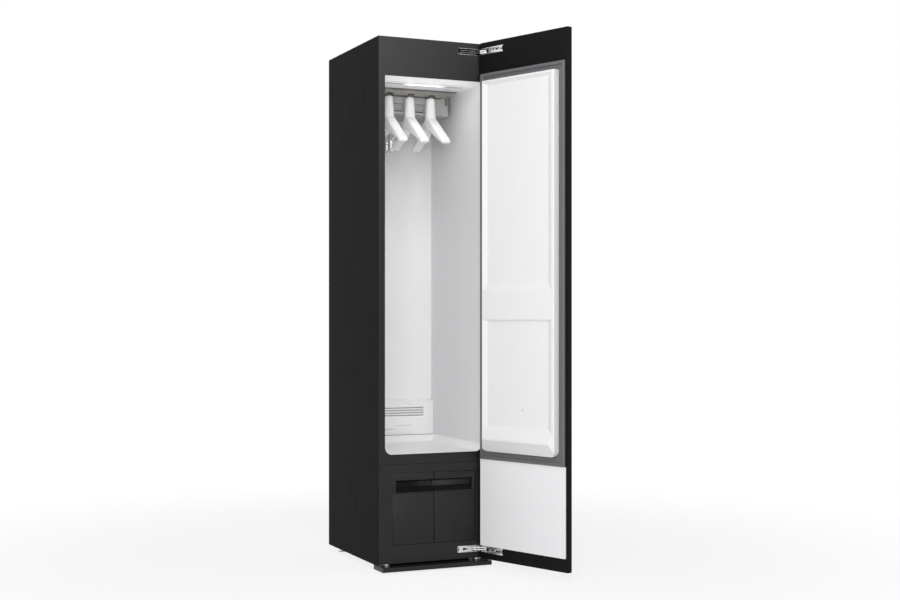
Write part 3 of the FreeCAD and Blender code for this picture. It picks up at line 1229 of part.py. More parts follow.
def door_gasket():
    """Magnetic gasket: one raised round lip and a flat flange that reaches in to the liner."""
    t0, t1 = GASKET_HINGE_MARGIN, DOOR_WIDTH - GASKET_FREE_MARGIN
    low, high = GASKET_BOTTOM_Z, GASKET_TOP_Z
    gap = GASKET_PLUG_GAP
    flange = door_block(t0, t1, 0, GASKET_FLANGE, low, high)
    plug = front_plate(door_x(PLUG_FREE_EDGE + gap), door_x(PLUG_HINGE_EDGE - gap), PLUG_BOTTOM_Z - gap,
                       PLUG_TOP_Z + gap, door_depth(-OVERCUT), door_depth(GASKET_FLANGE + OVERCUT),
                       low_radius=PLUG_LOWER_CORNER + gap)
    lip = ring(t0 + GASKET_LIP_SWING, t1, low, high, GASKET_LIP_WIDTH, 0, GASKET_HEIGHT)
    crest_y = FRONT_Y + door_depth(GASKET_HEIGHT)
    crest = [edge for edge in lip.Edges if all(abs(v.Point.y - crest_y) < 1e-6 for v in edge.Vertexes)]
    return joined(flange.cut(plug), lip.makeFillet(GASKET_LIP_ROUND, crest))


def door_lower_panel():
    """White panel on the door's inner face, opposite the tanks."""
    margin = LOWER_PANEL_MARGIN
    return front_plate(door_x(DOOR_WIDTH - margin), door_x(margin), LOWER_PANEL_BOTTOM_Z, GASKET_BOTTOM_Z,
                       DOOR_INNER_DEPTH, door_depth(LOWER_PANEL_THICKNESS), low_radius=LOWER_PANEL_RADIUS)


# ----------------------------------------------------------------------- hinges
def hinge_cup(hinge_z):
    """Steel cup sunk into the fascia that carries the hinge's links."""
    half, wall = HINGE_HALF_HEIGHT, CUP_WALL
    cup = block(CUP_START_X, CUP_END_X, 0, CUP_DEPTH, hinge_z - half, hinge_z + half)
    room = block(CUP_START_X + wall, CUP_END_X - wall, -OVERCUT, CUP_DEPTH - wall, hinge_z - half + wall,
                 hinge_z + half - wall)
    return cup.cut(room)


def covered_hinge_cup(hinge_z):
    """Hinge cup with a fishtailed cover plate over its near part, pierced by a triangular window."""
    half, wall = HINGE_HALF_HEIGHT, CUP_WALL
    x0, x1 = CUP_START_X + wall, CUP_START_X + COVER_LENGTH
    cover = front_prism([
        (x0, hinge_z - half + wall), (x0 + COVER_NOTCH, hinge_z), (x0, hinge_z + half - wall),
        (x1, hinge_z + half - wall), (x1, hinge_z - half + wall),
    ], 0, wall)
    start, length, rise = COVER_WINDOW
    window = front_prism([
        (x0 + start, hinge_z - rise), (x0 + start, hinge_z + rise), (x0 + start + length, hinge_z),
    ], -OVERCUT, wall + OVERCUT)
    return joined(hinge_cup(hinge_z), cover.cut(window))


def arm_links(z0, z1):
    """Return one layer of the hinge arm: a root bar and the link to the pin."""
    root_bar = capsule(LINK_ROOT, LINK_KNEE, LINK_BAR_RADIUS, z0, z1)
    link = capsule(LINK_KNEE, LINK_EYE, HINGE_EYE_RADIUS, z0, z1)
    return joined(root_bar, link)


def hinge_arm(hinge_z):
    """Two cranked link plates, joined at the root, the knee and the pin's eye."""
    pitch = (LINK_THICKNESS + LINK_SPACING) / 2
    levels = [hinge_z + side * pitch for side in (-1, 1)]
    layers = [arm_links(level - LINK_THICKNESS / 2, level + LINK_THICKNESS / 2) for level in levels]
    reach = HINGE_HALF_HEIGHT - HINGE_LEAF - HINGE_PLAY
    seat = HINGE_HALF_HEIGHT - CUP_WALL
    eye = upright_cylinder(*LINK_EYE, hinge_z - reach, hinge_z + reach, HINGE_EYE_RADIUS)
    root = upright_cylinder(*LINK_ROOT, hinge_z - seat, hinge_z + seat, LINK_ROOT_PIN)
    knee = upright_cylinder(*LINK_KNEE, hinge_z - seat, hinge_z + seat, LINK_KNEE_PIN)
    bore = upright_cylinder(*LINK_EYE, hinge_z - reach - OVERCUT, hinge_z + reach + OVERCUT,
                            PIN_RADIUS + PIN_RUNNING_GAP)
    return joined(*layers, eye, root, knee).cut(bore)


def hinge_bracket(hinge_z, slots):
    """Door half of a hinge: two leaves on the pin, a web, a forked plate and its fixing slots."""
    half, web_t, fork = HINGE_HALF_HEIGHT, BRACKET_WEB, BRACKET_FORK_HALF
    web_point = (door_x(web_t), door_depth(-BRACKET_LEAF_DROP))
    leaves = [capsule(LINK_EYE, web_point, HINGE_EYE_RADIUS, z, z + HINGE_LEAF)
              for z in (hinge_z - half, hinge_z + half - HINGE_LEAF)]
    beyond = door_block(web_t + BRACKET_WEB_THICKNESS / 2, BRACKET_END, -DOOR_FRAME_DEPTH, OVERCUT,
                        hinge_z - half, hinge_z + half)
    web = door_block(web_t, web_t + BRACKET_WEB_THICKNESS, -POCKET_DEPTH + BRACKET_PLATE, 0,
                     hinge_z - half, hinge_z + half)
    start, end = door_x(BRACKET_START), door_x(BRACKET_END)
    plate = front_prism([
        (start, hinge_z - half), (start, hinge_z - fork), (door_x(web_t), hinge_z - fork),
        (door_x(web_t), hinge_z + fork), (start, hinge_z + fork), (start, hinge_z + half),
        (end, hinge_z + half), (end + BRACKET_NOTCH, hinge_z), (end, hinge_z - half),
    ], door_depth(-BRACKET_PLATE), door_depth(0))
    low, high = hinge_z - BRACKET_SLOT_HALF, hinge_z + BRACKET_SLOT_HALF
    radius = BRACKET_SLOT_HALF - PIN_RUNNING_GAP
    cuts = [front_plate(door_x(t1), door_x(t0), low, high, door_depth(-BRACKET_PLATE - OVERCUT),
                        door_depth(OVERCUT), low_radius=radius, high_radius=radius) for t0, t1 in slots]
    cuts.append(upright_cylinder(*LINK_EYE, hinge_z - half - OVERCUT, hinge_z + half + OVERCUT, PIN_RADIUS))
    return joined(*[leaf.cut(beyond) for leaf in leaves], web, plate).cut(cuts)


def hinge_pin(hinge_z):
    """Hinge pin, pressed into the leaves and running in the arm's eye."""
    return upright_cylinder(*LINK_EYE, hinge_z - HINGE_HALF_HEIGHT, hinge_z + HINGE_HALF_HEIGHT, PIN_RADIUS)


# ---------------------------------------------------------------- inner machine
def compressor():
    """Compressor shell: a domed pot on a mounting plate with four feet."""
    x, d, r = COMPRESSOR_X, COMPRESSOR_CENTRE, COMPRESSOR_RADIUS
    low, top, dome = BASE_FLOOR_Z, BASE_FLOOR_Z + COMPRESSOR_HEIGHT, COMPRESSOR_DOME
    foot_radius, foot_height = COMPRESSOR_FOOT
    plate_z = low + foot_height
    pot_z = plate_z + COMPRESSOR_PLATE
    pot = turned(x, d, [
        (0, pot_z), (r, pot_z), (r, top - dome), (r * 0.85, top - dome * 0.4), (r * 0.45, top), (0, top),
    ])
    plate = block(x - r, x + r, d - r, d + r, plate_z, pot_z)
    reach = r - COMPRESSOR_FOOT_INSET
    feet = [upright_cylinder(x + sx * reach, d + sd * reach, low, plate_z, foot_radius)
            for sx in (-1, 1) for sd in (-1, 1)]
    return joined(pot, plate, *feet)


def heat_exchanger():
    """Finned heat exchanger: a row of upright fins standing in a tray."""
    width, length, height = EXCHANGER_SIZE
    low = BASE_FLOOR_Z
    x0 = EXCHANGER_X - width / 2
    d0 = EXCHANGER_FRONT
    step = (width - EXCHANGER_FIN) / (EXCHANGER_FIN_COUNT - 1)
    comb = [(x0, low), (x0 + width, low)]
    for index in reversed(range(EXCHANGER_FIN_COUNT)):
        left = x0 + index * step
        comb += [(left + EXCHANGER_FIN, low + height), (left, low + height)]
        if index:
            comb += [(left, low + EXCHANGER_TRAY), (left - step + EXCHANGER_FIN, low + EXCHANGER_TRAY)]
    return front_prism(comb, d0, d0 + length)


def steam_generator():
    """Small boiler with a flange and an outlet stub."""
    low, top, flange = BASE_FLOOR_Z, BASE_FLOOR_Z + STEAMER_HEIGHT, STEAMER_FLANGE
    r = STEAMER_RADIUS
    seam = top - 4 * flange
    stub_radius, stub_length = STEAMER_STUB
    return turned(STEAMER_X, STEAMER_CENTRE, [
        (0, low), (r, low), (r, seam), (r + flange, seam), (r + flange, seam + flange),
        (r, seam + flange), (r - 2 * flange, top), (stub_radius, top), (stub_radius, top + stub_length),
        (0, top + stub_length),
    ])


def water_pump():
    """Drain pump with a volute foot and a side spout."""
    low, x, d, r = BASE_FLOOR_Z, PUMP_X, PUMP_CENTRE, PUMP_RADIUS
    split = low + PUMP_VOLUTE_HEIGHT
    motor = upright_cylinder(x, d, split, low + PUMP_HEIGHT, r)
    volute = upright_cylinder(x, d, low, split, r + PUMP_VOLUTE)
    spout = Part.makeCylinder(PUMP_SPOUT_RADIUS, r + PUMP_SPOUT_REACH,
                              Vector(x, FRONT_Y + d, low + PUMP_VOLUTE_HEIGHT / 2), Vector(1, 0, 0))
    return joined(motor, volute, spout)


def blower_housing():
    """Scroll housing of the blower above the chamber, open around its rotor."""
    low, high = TOP_BAY_FLOOR_Z, TOP_BAY_FLOOR_Z + BLOWER_HEIGHT
    r, wall = BLOWER_RADIUS, BLOWER_WALL
    x, d = BLOWER_X, BLOWER_DEPTH
    end = x + r + BLOWER_SPOUT
    drum = upright_cylinder(x, d, low, high, r)
    spout = block(x, end, d, d + r, low, high)
    room = upright_cylinder(x, d, low + wall, high - wall, r - wall)
    mouth = block(x, end + OVERCUT, d + wall, d + r - wall, low + wall, high - wall)
    intake = upright_cylinder(x, d, high - wall - OVERCUT, high + OVERCUT, BLOWER_EYE)
    shaft = upright_cylinder(x, d, low + wall / 2, low + BLOWER_SHAFT_RISE, ROTOR_BORE)
    return joined(joined(drum, spout).cut([room, mouth, intake]), shaft)


def blower_rotor():
    """Blower rotor: a hub disc, a top ring and forward-leaning blades."""
    low = TOP_BAY_FLOOR_Z + BLOWER_WALL + ROTOR_GAP
    high, rim = low + ROTOR_HEIGHT, ROTOR_DISC
    x, d, r = BLOWER_X, BLOWER_DEPTH, ROTOR_RADIUS
    blade_depth = ROTOR_BLADE_DEPTH
    disc = upright_cylinder(x, d, low, low + rim, r)
    hub = upright_cylinder(x, d, low, low + ROTOR_HUB_HEIGHT, ROTOR_HUB_RADIUS)
    hoop = upright_cylinder(x, d, high - rim, high, r)
    hoop = hoop.cut(upright_cylinder(x, d, high - rim - OVERCUT, high + OVERCUT, r - blade_depth))
    blades = []
    for index in range(ROTOR_BLADES):
        blade = block(x + r - blade_depth, x + r - rim, d - ROTOR_BLADE / 2, d + ROTOR_BLADE / 2,
                      low + rim / 2, high - rim / 2)
        blade.rotate(Vector(x + r - blade_depth / 2, FRONT_Y + d, 0), Vector(0, 0, 1), ROTOR_BLADE_LEAN)
        blade.rotate(Vector(x, FRONT_Y + d, 0), Vector(0, 0, 1), index * 360 / ROTOR_BLADES)
        blades.append(blade)
    bore = upright_cylinder(x, d, low - OVERCUT, low + ROTOR_HUB_HEIGHT + OVERCUT,
                            ROTOR_BORE + PIN_RUNNING_GAP)
    return joined(disc, hub, hoop, *blades).cut(bore)


def control_box():
    """Box of the control board above the chamber."""
    width, length, height = CONTROL_SIZE
    low = TOP_BAY_FLOOR_Z
    box = block(CONTROL_X1 - width, CONTROL_X1, CONTROL_DEPTH - length / 2, CONTROL_DEPTH + length / 2,
                low, low + height)
    return rounded(box, CONTROL_CORNER, Vector(0, 0, 1))


def top_shelf():
    """Steel shelf above the chamber that carries the blower and the control box."""
    return block(-INNER_HALF_WIDTH, INNER_HALF_WIDTH, CEILING_SLOPE_DEPTH, REAR_SHEET_DEPTH,
                 CHAMBER_TOP_Z, TOP_BAY_FLOOR_Z)


def power_inlet():
    """Mains inlet socket in the rear sheet."""
    width, height = INLET_SIZE
    x0, z0 = INLET_X - width / 2, INLET_Z - height / 2
    x1, z1 = x0 + width, z0 + height
    rear, lip = REAR_SHEET_DEPTH + SHEET, INLET_LIP
    side, edge = INLET_MOUTH_INSET
    body = block(x0, x1, REAR_SHEET_DEPTH - INLET_DEPTH, rear, z0, z1)
    flange = block(x0 - lip, x1 + lip, rear, rear + SHEET, z0 - lip, z1 + lip)
    mouth = block(x0 + side, x1 - side, REAR_SHEET_DEPTH - INLET_MOUTH_DEPTH, rear + SHEET + OVERCUT,
                  z0 + edge, z1 - edge)
    return joined(body, flange).cut(mouth)


# ------------------------------------------------------------------ write pieces
def fixed_pieces():
    """Return every piece of the cabinet's fixed body by name."""
    return {
        "side_panel_left": side_panel(-1),
        "side_panel_right": side_panel(1),
        "top_panel": top_panel(),
        "rear_panel": rear_panel(),
        "front_frame": front_frame(),
        "front_lower_panel": front_lower_panel(),
        "base_pan": base_pan(),
        "plinth": plinth(),
        "chamber_side_left": chamber_side(-1),
        "chamber_side_right": chamber_side(1),
        "chamber_back": chamber_back(),
        "chamber_floor": chamber_floor(),
        "chamber_ceiling": chamber_ceiling(),
        "light_lens": light_lens(),
        "hanger_rail": hanger_rail(),
        "jet_housing": jet_housing(),
        "intake_cover": intake_cover(),
        "steam_nozzle": steam_nozzle(),
        "tank_bay": tank_bay(),
        "top_shelf": top_shelf(),
        "compressor": compressor(),
        "heat_exchanger": heat_exchanger(),
        "steam_generator": steam_generator(),
        "water_pump": water_pump(),
        "blower_housing": blower_housing(),
        "control_box": control_box(),
        "power_inlet": power_inlet(),
        "hinge_top_cup": hinge_cup(HINGE_TOP_Z),
        "hinge_bottom_cup": covered_hinge_cup(HINGE_BOTTOM_Z),
        "hinge_top_arm": hinge_arm(HINGE_TOP_Z),
        "hinge_bottom_arm": hinge_arm(HINGE_BOTTOM_Z),
    }


def door_pieces():
    """Return every piece of the door, closed, by name."""
    return {
        "door_frame": door_frame(),
        "door_glass": door_glass(),
        "door_liner": door_liner(),
        "door_gasket": door_gasket(),
        "door_lower_panel": door_lower_panel(),
        "hinge_top_bracket": hinge_bracket(HINGE_TOP_Z, [BRACKET_LONG_SLOT]),
        "hinge_bottom_bracket": hinge_bracket(HINGE_BOTTOM_Z, [BRACKET_SHORT_SLOT, BRACKET_LONG_SLOT]),
        "hinge_top_pin": hinge_pin(HINGE_TOP_Z),
        "hinge_bottom_pin": hinge_pin(HINGE_BOTTOM_Z),
    }


def moving_pieces():
    """Return the tanks, hangers, clips, feet, filter and rotor by name."""
    pieces = {"lint_filter": lint_filter(), "blower_rotor": blower_rotor()}
    for side, name in ((-1, "left"), (1, "right")):
        pieces[f"tank_{name}_front"] = tank_front(side)
        pieces[f"tank_{name}_body"] = tank_body(side)
        pieces[f"tank_{name}_lid"] = tank_lid(side)
    for name, x in zip(HANGER_NAMES, hanger_positions()):
        pieces[name] = hanger(x)
    trouser_x = hanger_positions()[0]
    bar = clip_bar(trouser_x)
    pieces["clip_bar"] = bar
    pieces[HANGER_NAMES[0]] = pieces[HANGER_NAMES[0]].cut(bar)
    for side, name in ((-1, "front"), (1, "rear")):
        centre = HANGER_DEPTH + side * CLIP_OFFSET
        pieces[f"clip_{name}_body"] = clip_body(trouser_x, centre)
        pieces[f"clip_{name}_jaw"] = clip_jaw(trouser_x, centre)
    for row, feet in (("front", FRONT_FEET), ("rear", REAR_FEET)):
        for (x, d), name in zip(feet, ("left", "right")):
            pieces[f"foot_{row}_{name}"] = foot(x, d)
    return pieces


for piece, solid in fixed_pieces().items():
    save(piece, solid)
for piece, solid in door_pieces().items():
    save(piece, swung_open(solid))
for piece, solid in moving_pieces().items():
    save(piece, solid)
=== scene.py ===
import logging
import math
from dataclasses import dataclass, field, replace
from enum import Enum
from functools import cached_property
from typing import Iterable, Sequence

import bmesh
import bpy
from mathutils import Matrix, Vector


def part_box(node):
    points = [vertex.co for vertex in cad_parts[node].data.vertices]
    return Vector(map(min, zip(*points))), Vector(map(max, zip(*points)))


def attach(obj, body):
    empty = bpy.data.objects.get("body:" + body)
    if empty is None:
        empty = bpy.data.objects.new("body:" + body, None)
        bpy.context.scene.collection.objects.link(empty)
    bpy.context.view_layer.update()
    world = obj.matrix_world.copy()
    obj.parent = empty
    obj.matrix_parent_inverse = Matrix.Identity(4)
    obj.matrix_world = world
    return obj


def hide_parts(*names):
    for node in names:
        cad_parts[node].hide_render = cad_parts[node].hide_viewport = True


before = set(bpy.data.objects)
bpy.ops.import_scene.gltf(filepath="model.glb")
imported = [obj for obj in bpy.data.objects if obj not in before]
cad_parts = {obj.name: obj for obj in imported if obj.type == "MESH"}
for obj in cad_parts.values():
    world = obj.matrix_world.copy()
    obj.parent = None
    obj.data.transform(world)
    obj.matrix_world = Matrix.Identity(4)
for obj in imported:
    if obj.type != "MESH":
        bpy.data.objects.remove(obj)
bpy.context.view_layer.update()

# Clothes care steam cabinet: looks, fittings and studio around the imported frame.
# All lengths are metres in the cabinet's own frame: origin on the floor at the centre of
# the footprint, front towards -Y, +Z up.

log = logging.getLogger("steam_cabinet")

Colour = tuple[float, float, float]
Point = tuple[float, float, float]
BMesh = bmesh.types.BMesh
Node = bpy.types.Node
Socket = bpy.types.NodeSocket

MM = 0.001
MERGE = 1e-6           # vertices nearer than this are joined
FLAT_ANGLE = 0.5       # degrees below which neighbouring facets become one face
SHARP_ANGLE = 50.0     # degrees above which an outer edge is rounded
ROD_STEPS = 12         # facets round a rod
PLAIN_WHITE = (1.0, 1.0, 1.0, 1.0)
PRINCIPLED = "Principled BSDF"
FLOAT, VECTOR, COLOUR = "NodeSocketFloat", "NodeSocketVector", "NodeSocketColor"


# --------------------------------------------------------------------- shader helpers
class Sheet:
    """A node tree with short ways to add, set and link nodes."""

    def __init__(self, tree: bpy.types.NodeTree) -> None:
        """Keep the tree of a material, a world or a group."""
        self.tree = tree

    def add(self, kind: str, **settings: object) -> Node:
        """Add one node and set its properties.

        Args:
            kind: The node's type name.
            settings: Node properties by name.

        Returns:
            The new node.
        """
        node = self.tree.nodes.new(kind)
        for name, value in settings.items():
            setattr(node, name, value)
        return node

    def put(self, value: object, socket: Socket) -> None:
        """Link an output socket, or write a plain value, into an input socket.

        Args:
            value: The output socket or the plain value.
            socket: The input socket.
        """
        if isinstance(value, Socket):
            self.tree.links.new(value, socket)
        else:
            socket.default_value = value

    def feed(self, node: Node, **inputs: object) -> Node:
        """Set or link a node's inputs, with spaces in socket names written as underscores.

        Args:
            node: The node to feed.
            inputs: Values or output sockets by input name.

        Returns:
            The same node.
        """
        for name, value in inputs.items():
            self.put(value, node.inputs[name.replace("_", " ")])
        return node

    def math(self, operation: str, first: object, second: object = 0.0, clamp: bool = False) -> Socket:
        """Add a Math node.

        Args:
            operation: The node's operation.
            first: First value or socket.
            second: Second value or socket.
            clamp: Whether the result is kept between 0 and 1.

        Returns:
            The result socket.
        """
        node = self.add("ShaderNodeMath", operation=operation, use_clamp=clamp)
        self.put(first, node.inputs[0])
        self.put(second, node.inputs[1])
        return node.outputs[0]

    def ramp(self, value: object, low: float, high: float, start: float = 0.0, end: float = 1.0) -> Socket:
        """Map a value smoothly from one range to another.

        Args:
            value: The value or socket.
            low: Lower end of the incoming range.
            high: Upper end of the incoming range.
            start: Result at the lower end.
            end: Result at the upper end.

        Returns:
            The mapped value's socket.
        """
        node = self.add("ShaderNodeMapRange", interpolation_type="SMOOTHSTEP", clamp=True)
        self.feed(node, Value=value, From_Min=low, From_Max=high, To_Min=start, To_Max=end)
        return node.outputs["Result"]

    def blend(self, factor: object, first: object, second: object) -> Socket:
        """Mix two colours.

        Args:
            factor: Share of the second colour.
            first: First colour or socket.
            second: Second colour or socket.

        Returns:
            The mixed colour's socket.
        """
        node = self.add("ShaderNodeMix", data_type="RGBA", blend_type="MIX")
        self.put(factor, node.inputs[0])
        for value, socket in ((first, node.inputs[6]), (second, node.inputs[7])):
            self.put((*value, 1.0) if isinstance(value, tuple) else value, socket)
        return node.outputs[2]

    def noise(self, vector: Socket, scale: object, detail: float, roughness: float) -> Socket:
        """Add a 3-D noise texture.

        Args:
            vector: Coordinate socket.
            scale: Waves per metre.
            detail: Octaves.
            roughness: Weight of the finer octaves.

        Returns:
            The noise factor's socket.
        """
        node = self.add("ShaderNodeTexNoise", noise_dimensions="3D")
        self.feed(node, Vector=vector, Scale=scale, Detail=detail, Roughness=roughness)
        return node.outputs[0]

    def place(self) -> Socket:
        """Return the object coordinates."""
        return self.add("ShaderNodeTexCoord").outputs["Object"]

    def axis(self, vector: Socket, name: str) -> Socket:
        """Return one coordinate, X, Y or Z, of a vector."""
        return self.feed(self.add("ShaderNodeSeparateXYZ"), Vector=vector).outputs[name]

    def seen(self) -> Socket:
        """Tell the rays that show the white background from those that light the object.

        Returns:
            A socket that is 1 for rays from the camera, through glass or off gloss.
        """
        path = self.add("ShaderNodeLightPath").outputs
        seen = self.math("MAXIMUM", path["Is Camera Ray"], path["Is Transmission Ray"], clamp=True)
        return self.math("MAXIMUM", seen, path["Is Glossy Ray"], clamp=True)

    def output(self, kind: str, factor: Socket, first: Node, second: Node) -> None:
        """Send a mix of two shaders to the tree's output.

        Args:
            kind: Type name of the output node.
            factor: Share of the second shader.
            first: First shader.
            second: Second shader.
        """
        mix = self.add("ShaderNodeMixShader")
        for value, socket in zip((factor, first.outputs[0], second.outputs[0]), mix.inputs):
            self.put(value, socket)
        self.put(mix.outputs[0], self.add(kind).inputs[0])


class Groups:
    """Shader groups that several finishes share, each built once."""

    @staticmethod
    def _open(name: str, inputs: Sequence[tuple[str, str]],
              outputs: Sequence[tuple[str, str]]) -> tuple[Sheet, Node, Node]:
        """Create a group tree with its interface.

        Args:
            name: Name of the group.
            inputs: Name and socket type of each input.
            outputs: Name and socket type of each output.

        Returns:
            The sheet, the group's input node and its output node.
        """
        tree = bpy.data.node_groups.new(name, "ShaderNodeTree")
        for way, sockets in (("INPUT", inputs), ("OUTPUT", outputs)):
            for label, kind in sockets:
                tree.interface.new_socket(name=label, in_out=way, socket_type=kind)
        sheet = Sheet(tree)
        return sheet, sheet.add("NodeGroupInput"), sheet.add("NodeGroupOutput")

    @cached_property
    def grain(self) -> bpy.types.NodeTree:
        """Moulded or powder-coated grain: a height of fine pebbles over soft waves.

        Returns:
            The group's tree.
        """
        cell_share, fine_share, wave_share = 0.6, 0.4, 0.4
        fine_scale, wave_scale = 2.3, 0.06
        sheet, given, result = self._open("surface_grain", [("Vector", VECTOR), ("Scale", FLOAT)],
                                          [("Height", FLOAT)])
        vector, scale = given.outputs["Vector"], given.outputs["Scale"]
        cells = sheet.add("ShaderNodeTexVoronoi", feature="SMOOTH_F1")
        sheet.feed(cells, Vector=vector, Scale=scale, Smoothness=0.6)
        fine = sheet.noise(vector, sheet.math("MULTIPLY", scale, fine_scale), detail=3.0, roughness=0.6)
        wave = sheet.noise(vector, sheet.math("MULTIPLY", scale, wave_scale), detail=1.0, roughness=0.4)
        pebbles = sheet.math("ADD", sheet.math("MULTIPLY", cells.outputs["Distance"], cell_share),
                             sheet.math("MULTIPLY", fine, fine_share))
        sheet.feed(result, Height=sheet.math("ADD", pebbles, sheet.math("MULTIPLY", wave, wave_share)))
        return sheet.tree

    @cached_property
    def handling(self) -> bpy.types.NodeTree:
        """Faint use marks: broad clouds, wiped streaks and a colour lift.

        Returns:
            The group's tree.
        """
        streaks, mean_mask = (38.0, 38.0, 5.0), 0.35
        sheet, given, result = self._open(
            "handling_marks",
            [("Vector", VECTOR), ("Colour", COLOUR), ("Lift", COLOUR), ("Amount", FLOAT),
             ("Roughness", FLOAT), ("Spread", FLOAT)],
            [("Colour", COLOUR), ("Roughness", FLOAT)])
        entry = given.outputs
        clouds = sheet.noise(entry["Vector"], scale=4.5, detail=4.0, roughness=0.55)
        stretch = sheet.add("ShaderNodeMapping", vector_type="POINT")
        sheet.feed(stretch, Vector=entry["Vector"], Scale=streaks)
        wiped = sheet.noise(stretch.outputs[0], scale=1.0, detail=3.0, roughness=0.6)
        mask = sheet.math("MULTIPLY", sheet.ramp(clouds, low=0.38, high=0.68),
                          sheet.ramp(wiped, low=0.35, high=0.75))
        share = sheet.math("MULTIPLY", mask, entry["Amount"], clamp=True)
        drift = sheet.math("MULTIPLY", sheet.math("SUBTRACT", mask, mean_mask), entry["Spread"])
        sheet.feed(result, Colour=sheet.blend(share, entry["Colour"], entry["Lift"]),
                   Roughness=sheet.math("ADD", entry["Roughness"], drift, clamp=True))
        return sheet.tree

    @cached_property
    def brushing(self) -> bpy.types.NodeTree:
        """Drawn or brushed metal: long hairlines of height and tone.

        Returns:
            The group's tree.
        """
        sheet, given, result = self._open("hairlines", [("Vector", VECTOR), ("Stretch", VECTOR)],
                                          [("Height", FLOAT), ("Tone", FLOAT)])
        mapped = sheet.add("ShaderNodeVectorMath", operation="MULTIPLY")
        sheet.put(given.outputs["Vector"], mapped.inputs[0])
        sheet.put(given.outputs["Stretch"], mapped.inputs[1])
        lines = sheet.noise(mapped.outputs[0], scale=1.0, detail=3.0, roughness=0.7)
        sheet.feed(result, Height=lines, Tone=sheet.ramp(lines, low=0.3, high=0.7))
        return sheet.tree


GROUPS = Groups()


# ------------------------------------------------------------------------- finishes
class Along(Enum):
    """Direction that hairlines run in, with the waves per metre along X, Y and Z."""

    X = (25.0, 1100.0, 1100.0)
    Y = (1100.0, 25.0, 1100.0)
    Z = (1100.0, 1100.0, 25.0)


@dataclass(frozen=True)
class Finish:
    """Base of every finish: a name, the record's slot and the surface's numbers.

    Args:
        name: Name of the material.
        slot: The record's material slot; not used.
        colour: Base colour, linear.
        lift: Colour that faint marks tend to.
        amount: Strength of the marks.
        roughness: Mean roughness.
        spread: How far the marks change the roughness.
        grain: Grain cells per metre.
        depth: Depth of the relief in metres.
        metallic: Metallic share.
        coat: Weight of the clear coat.
        coat_roughness: Roughness of the clear coat.
        specular: Specular level.
    """

    name: str
    slot: str
    colour: Colour
    lift: Colour
    amount: float = 0.3
    roughness: float = 0.4
    spread: float = 0.07
    grain: float = 900.0
    depth: float = 0.00002
    metallic: float = 0.0
    coat: float = 0.0
    coat_roughness: float = 0.1
    specular: float = 0.5

    def darker(self, share: float) -> Colour:
        """Return the base colour at a share of its strength."""
        return tuple(share * channel for channel in self.colour)

    def _open(self) -> tuple[bpy.types.Material, Sheet, Node, Socket]:
        """Create the material with its Principled BSDF and object coordinates.

        Returns:
            The material, its sheet, the shader and the coordinate socket.
        """
        material = bpy.data.materials.new(self.name)
        material.use_nodes = True
        sheet = Sheet(material.node_tree)
        shader = sheet.feed(sheet.tree.nodes[PRINCIPLED], Metallic=self.metallic, Coat_Weight=self.coat,
                            Coat_Roughness=self.coat_roughness, Specular_IOR_Level=self.specular)
        return material, sheet, shader, sheet.place()

    def _marks(self, sheet: Sheet, shader: Node, place: Socket) -> Node:
        """Feed the colour and roughness through the shared handling marks.

        Args:
            sheet: The material's sheet.
            shader: The Principled BSDF.
            place: Coordinate socket.

        Returns:
            The group node.
        """
        marks = sheet.add("ShaderNodeGroup", node_tree=GROUPS.handling)
        sheet.feed(marks, Vector=place, Colour=(*self.colour, 1.0), Lift=(*self.lift, 1.0),
                   Amount=self.amount, Roughness=self.roughness, Spread=self.spread)
        sheet.feed(shader, Base_Color=marks.outputs["Colour"], Roughness=marks.outputs["Roughness"])
        return marks

    def _bump(self, sheet: Sheet, shader: Node, height: Socket) -> None:
        """Feed a height socket to the shader's normal."""
        bump = sheet.feed(sheet.add("ShaderNodeBump"), Strength=1.0, Distance=self.depth, Height=height)
        sheet.feed(shader, Normal=bump.outputs[0])

    def material(self) -> bpy.types.Material:
        """Return the finish's material, built the first time it is asked for."""
        return bpy.data.materials.get(self.name) or self.make()

    def make(self) -> bpy.types.Material:
        """Build a grained surface with faint marks.

        Returns:
            The new material.
        """
        material, sheet, shader, place = self._open()
        self._marks(sheet, shader, place)
        grain = sheet.add("ShaderNodeGroup", node_tree=GROUPS.grain)
        sheet.feed(grain, Vector=place, Scale=self.grain)
        self._bump(sheet, shader, grain.outputs["Height"])
        return material


@dataclass(frozen=True)
class DrawnMetal(Finish):
    """Bare metal with hairlines along one direction.

    Args:
        along: Direction of the hairlines.
        tone: How much the hairlines darken the metal.
        line_tone: Share of the base colour in the hairlines.
    """

    along: Along = Along.X
    tone: float = 0.15
    line_tone: float = 0.72

    def make(self) -> bpy.types.Material:
        """Build the brushed surface.

        Returns:
            The new material.
        """
        material, sheet, shader, place = self._open()
        marks = self._marks(sheet, shader, place)
        lines = sheet.add("ShaderNodeGroup", node_tree=GROUPS.brushing)
        sheet.feed(lines, Vector=place, Stretch=self.along.value)
        share = sheet.math("MULTIPLY", lines.outputs["Tone"], self.tone)
        dark = self.darker(self.line_tone)
        sheet.feed(shader, Base_Color=sheet.blend(share, marks.outputs["Colour"], dark))
        self._bump(sheet, shader, lines.outputs["Height"])
        return material


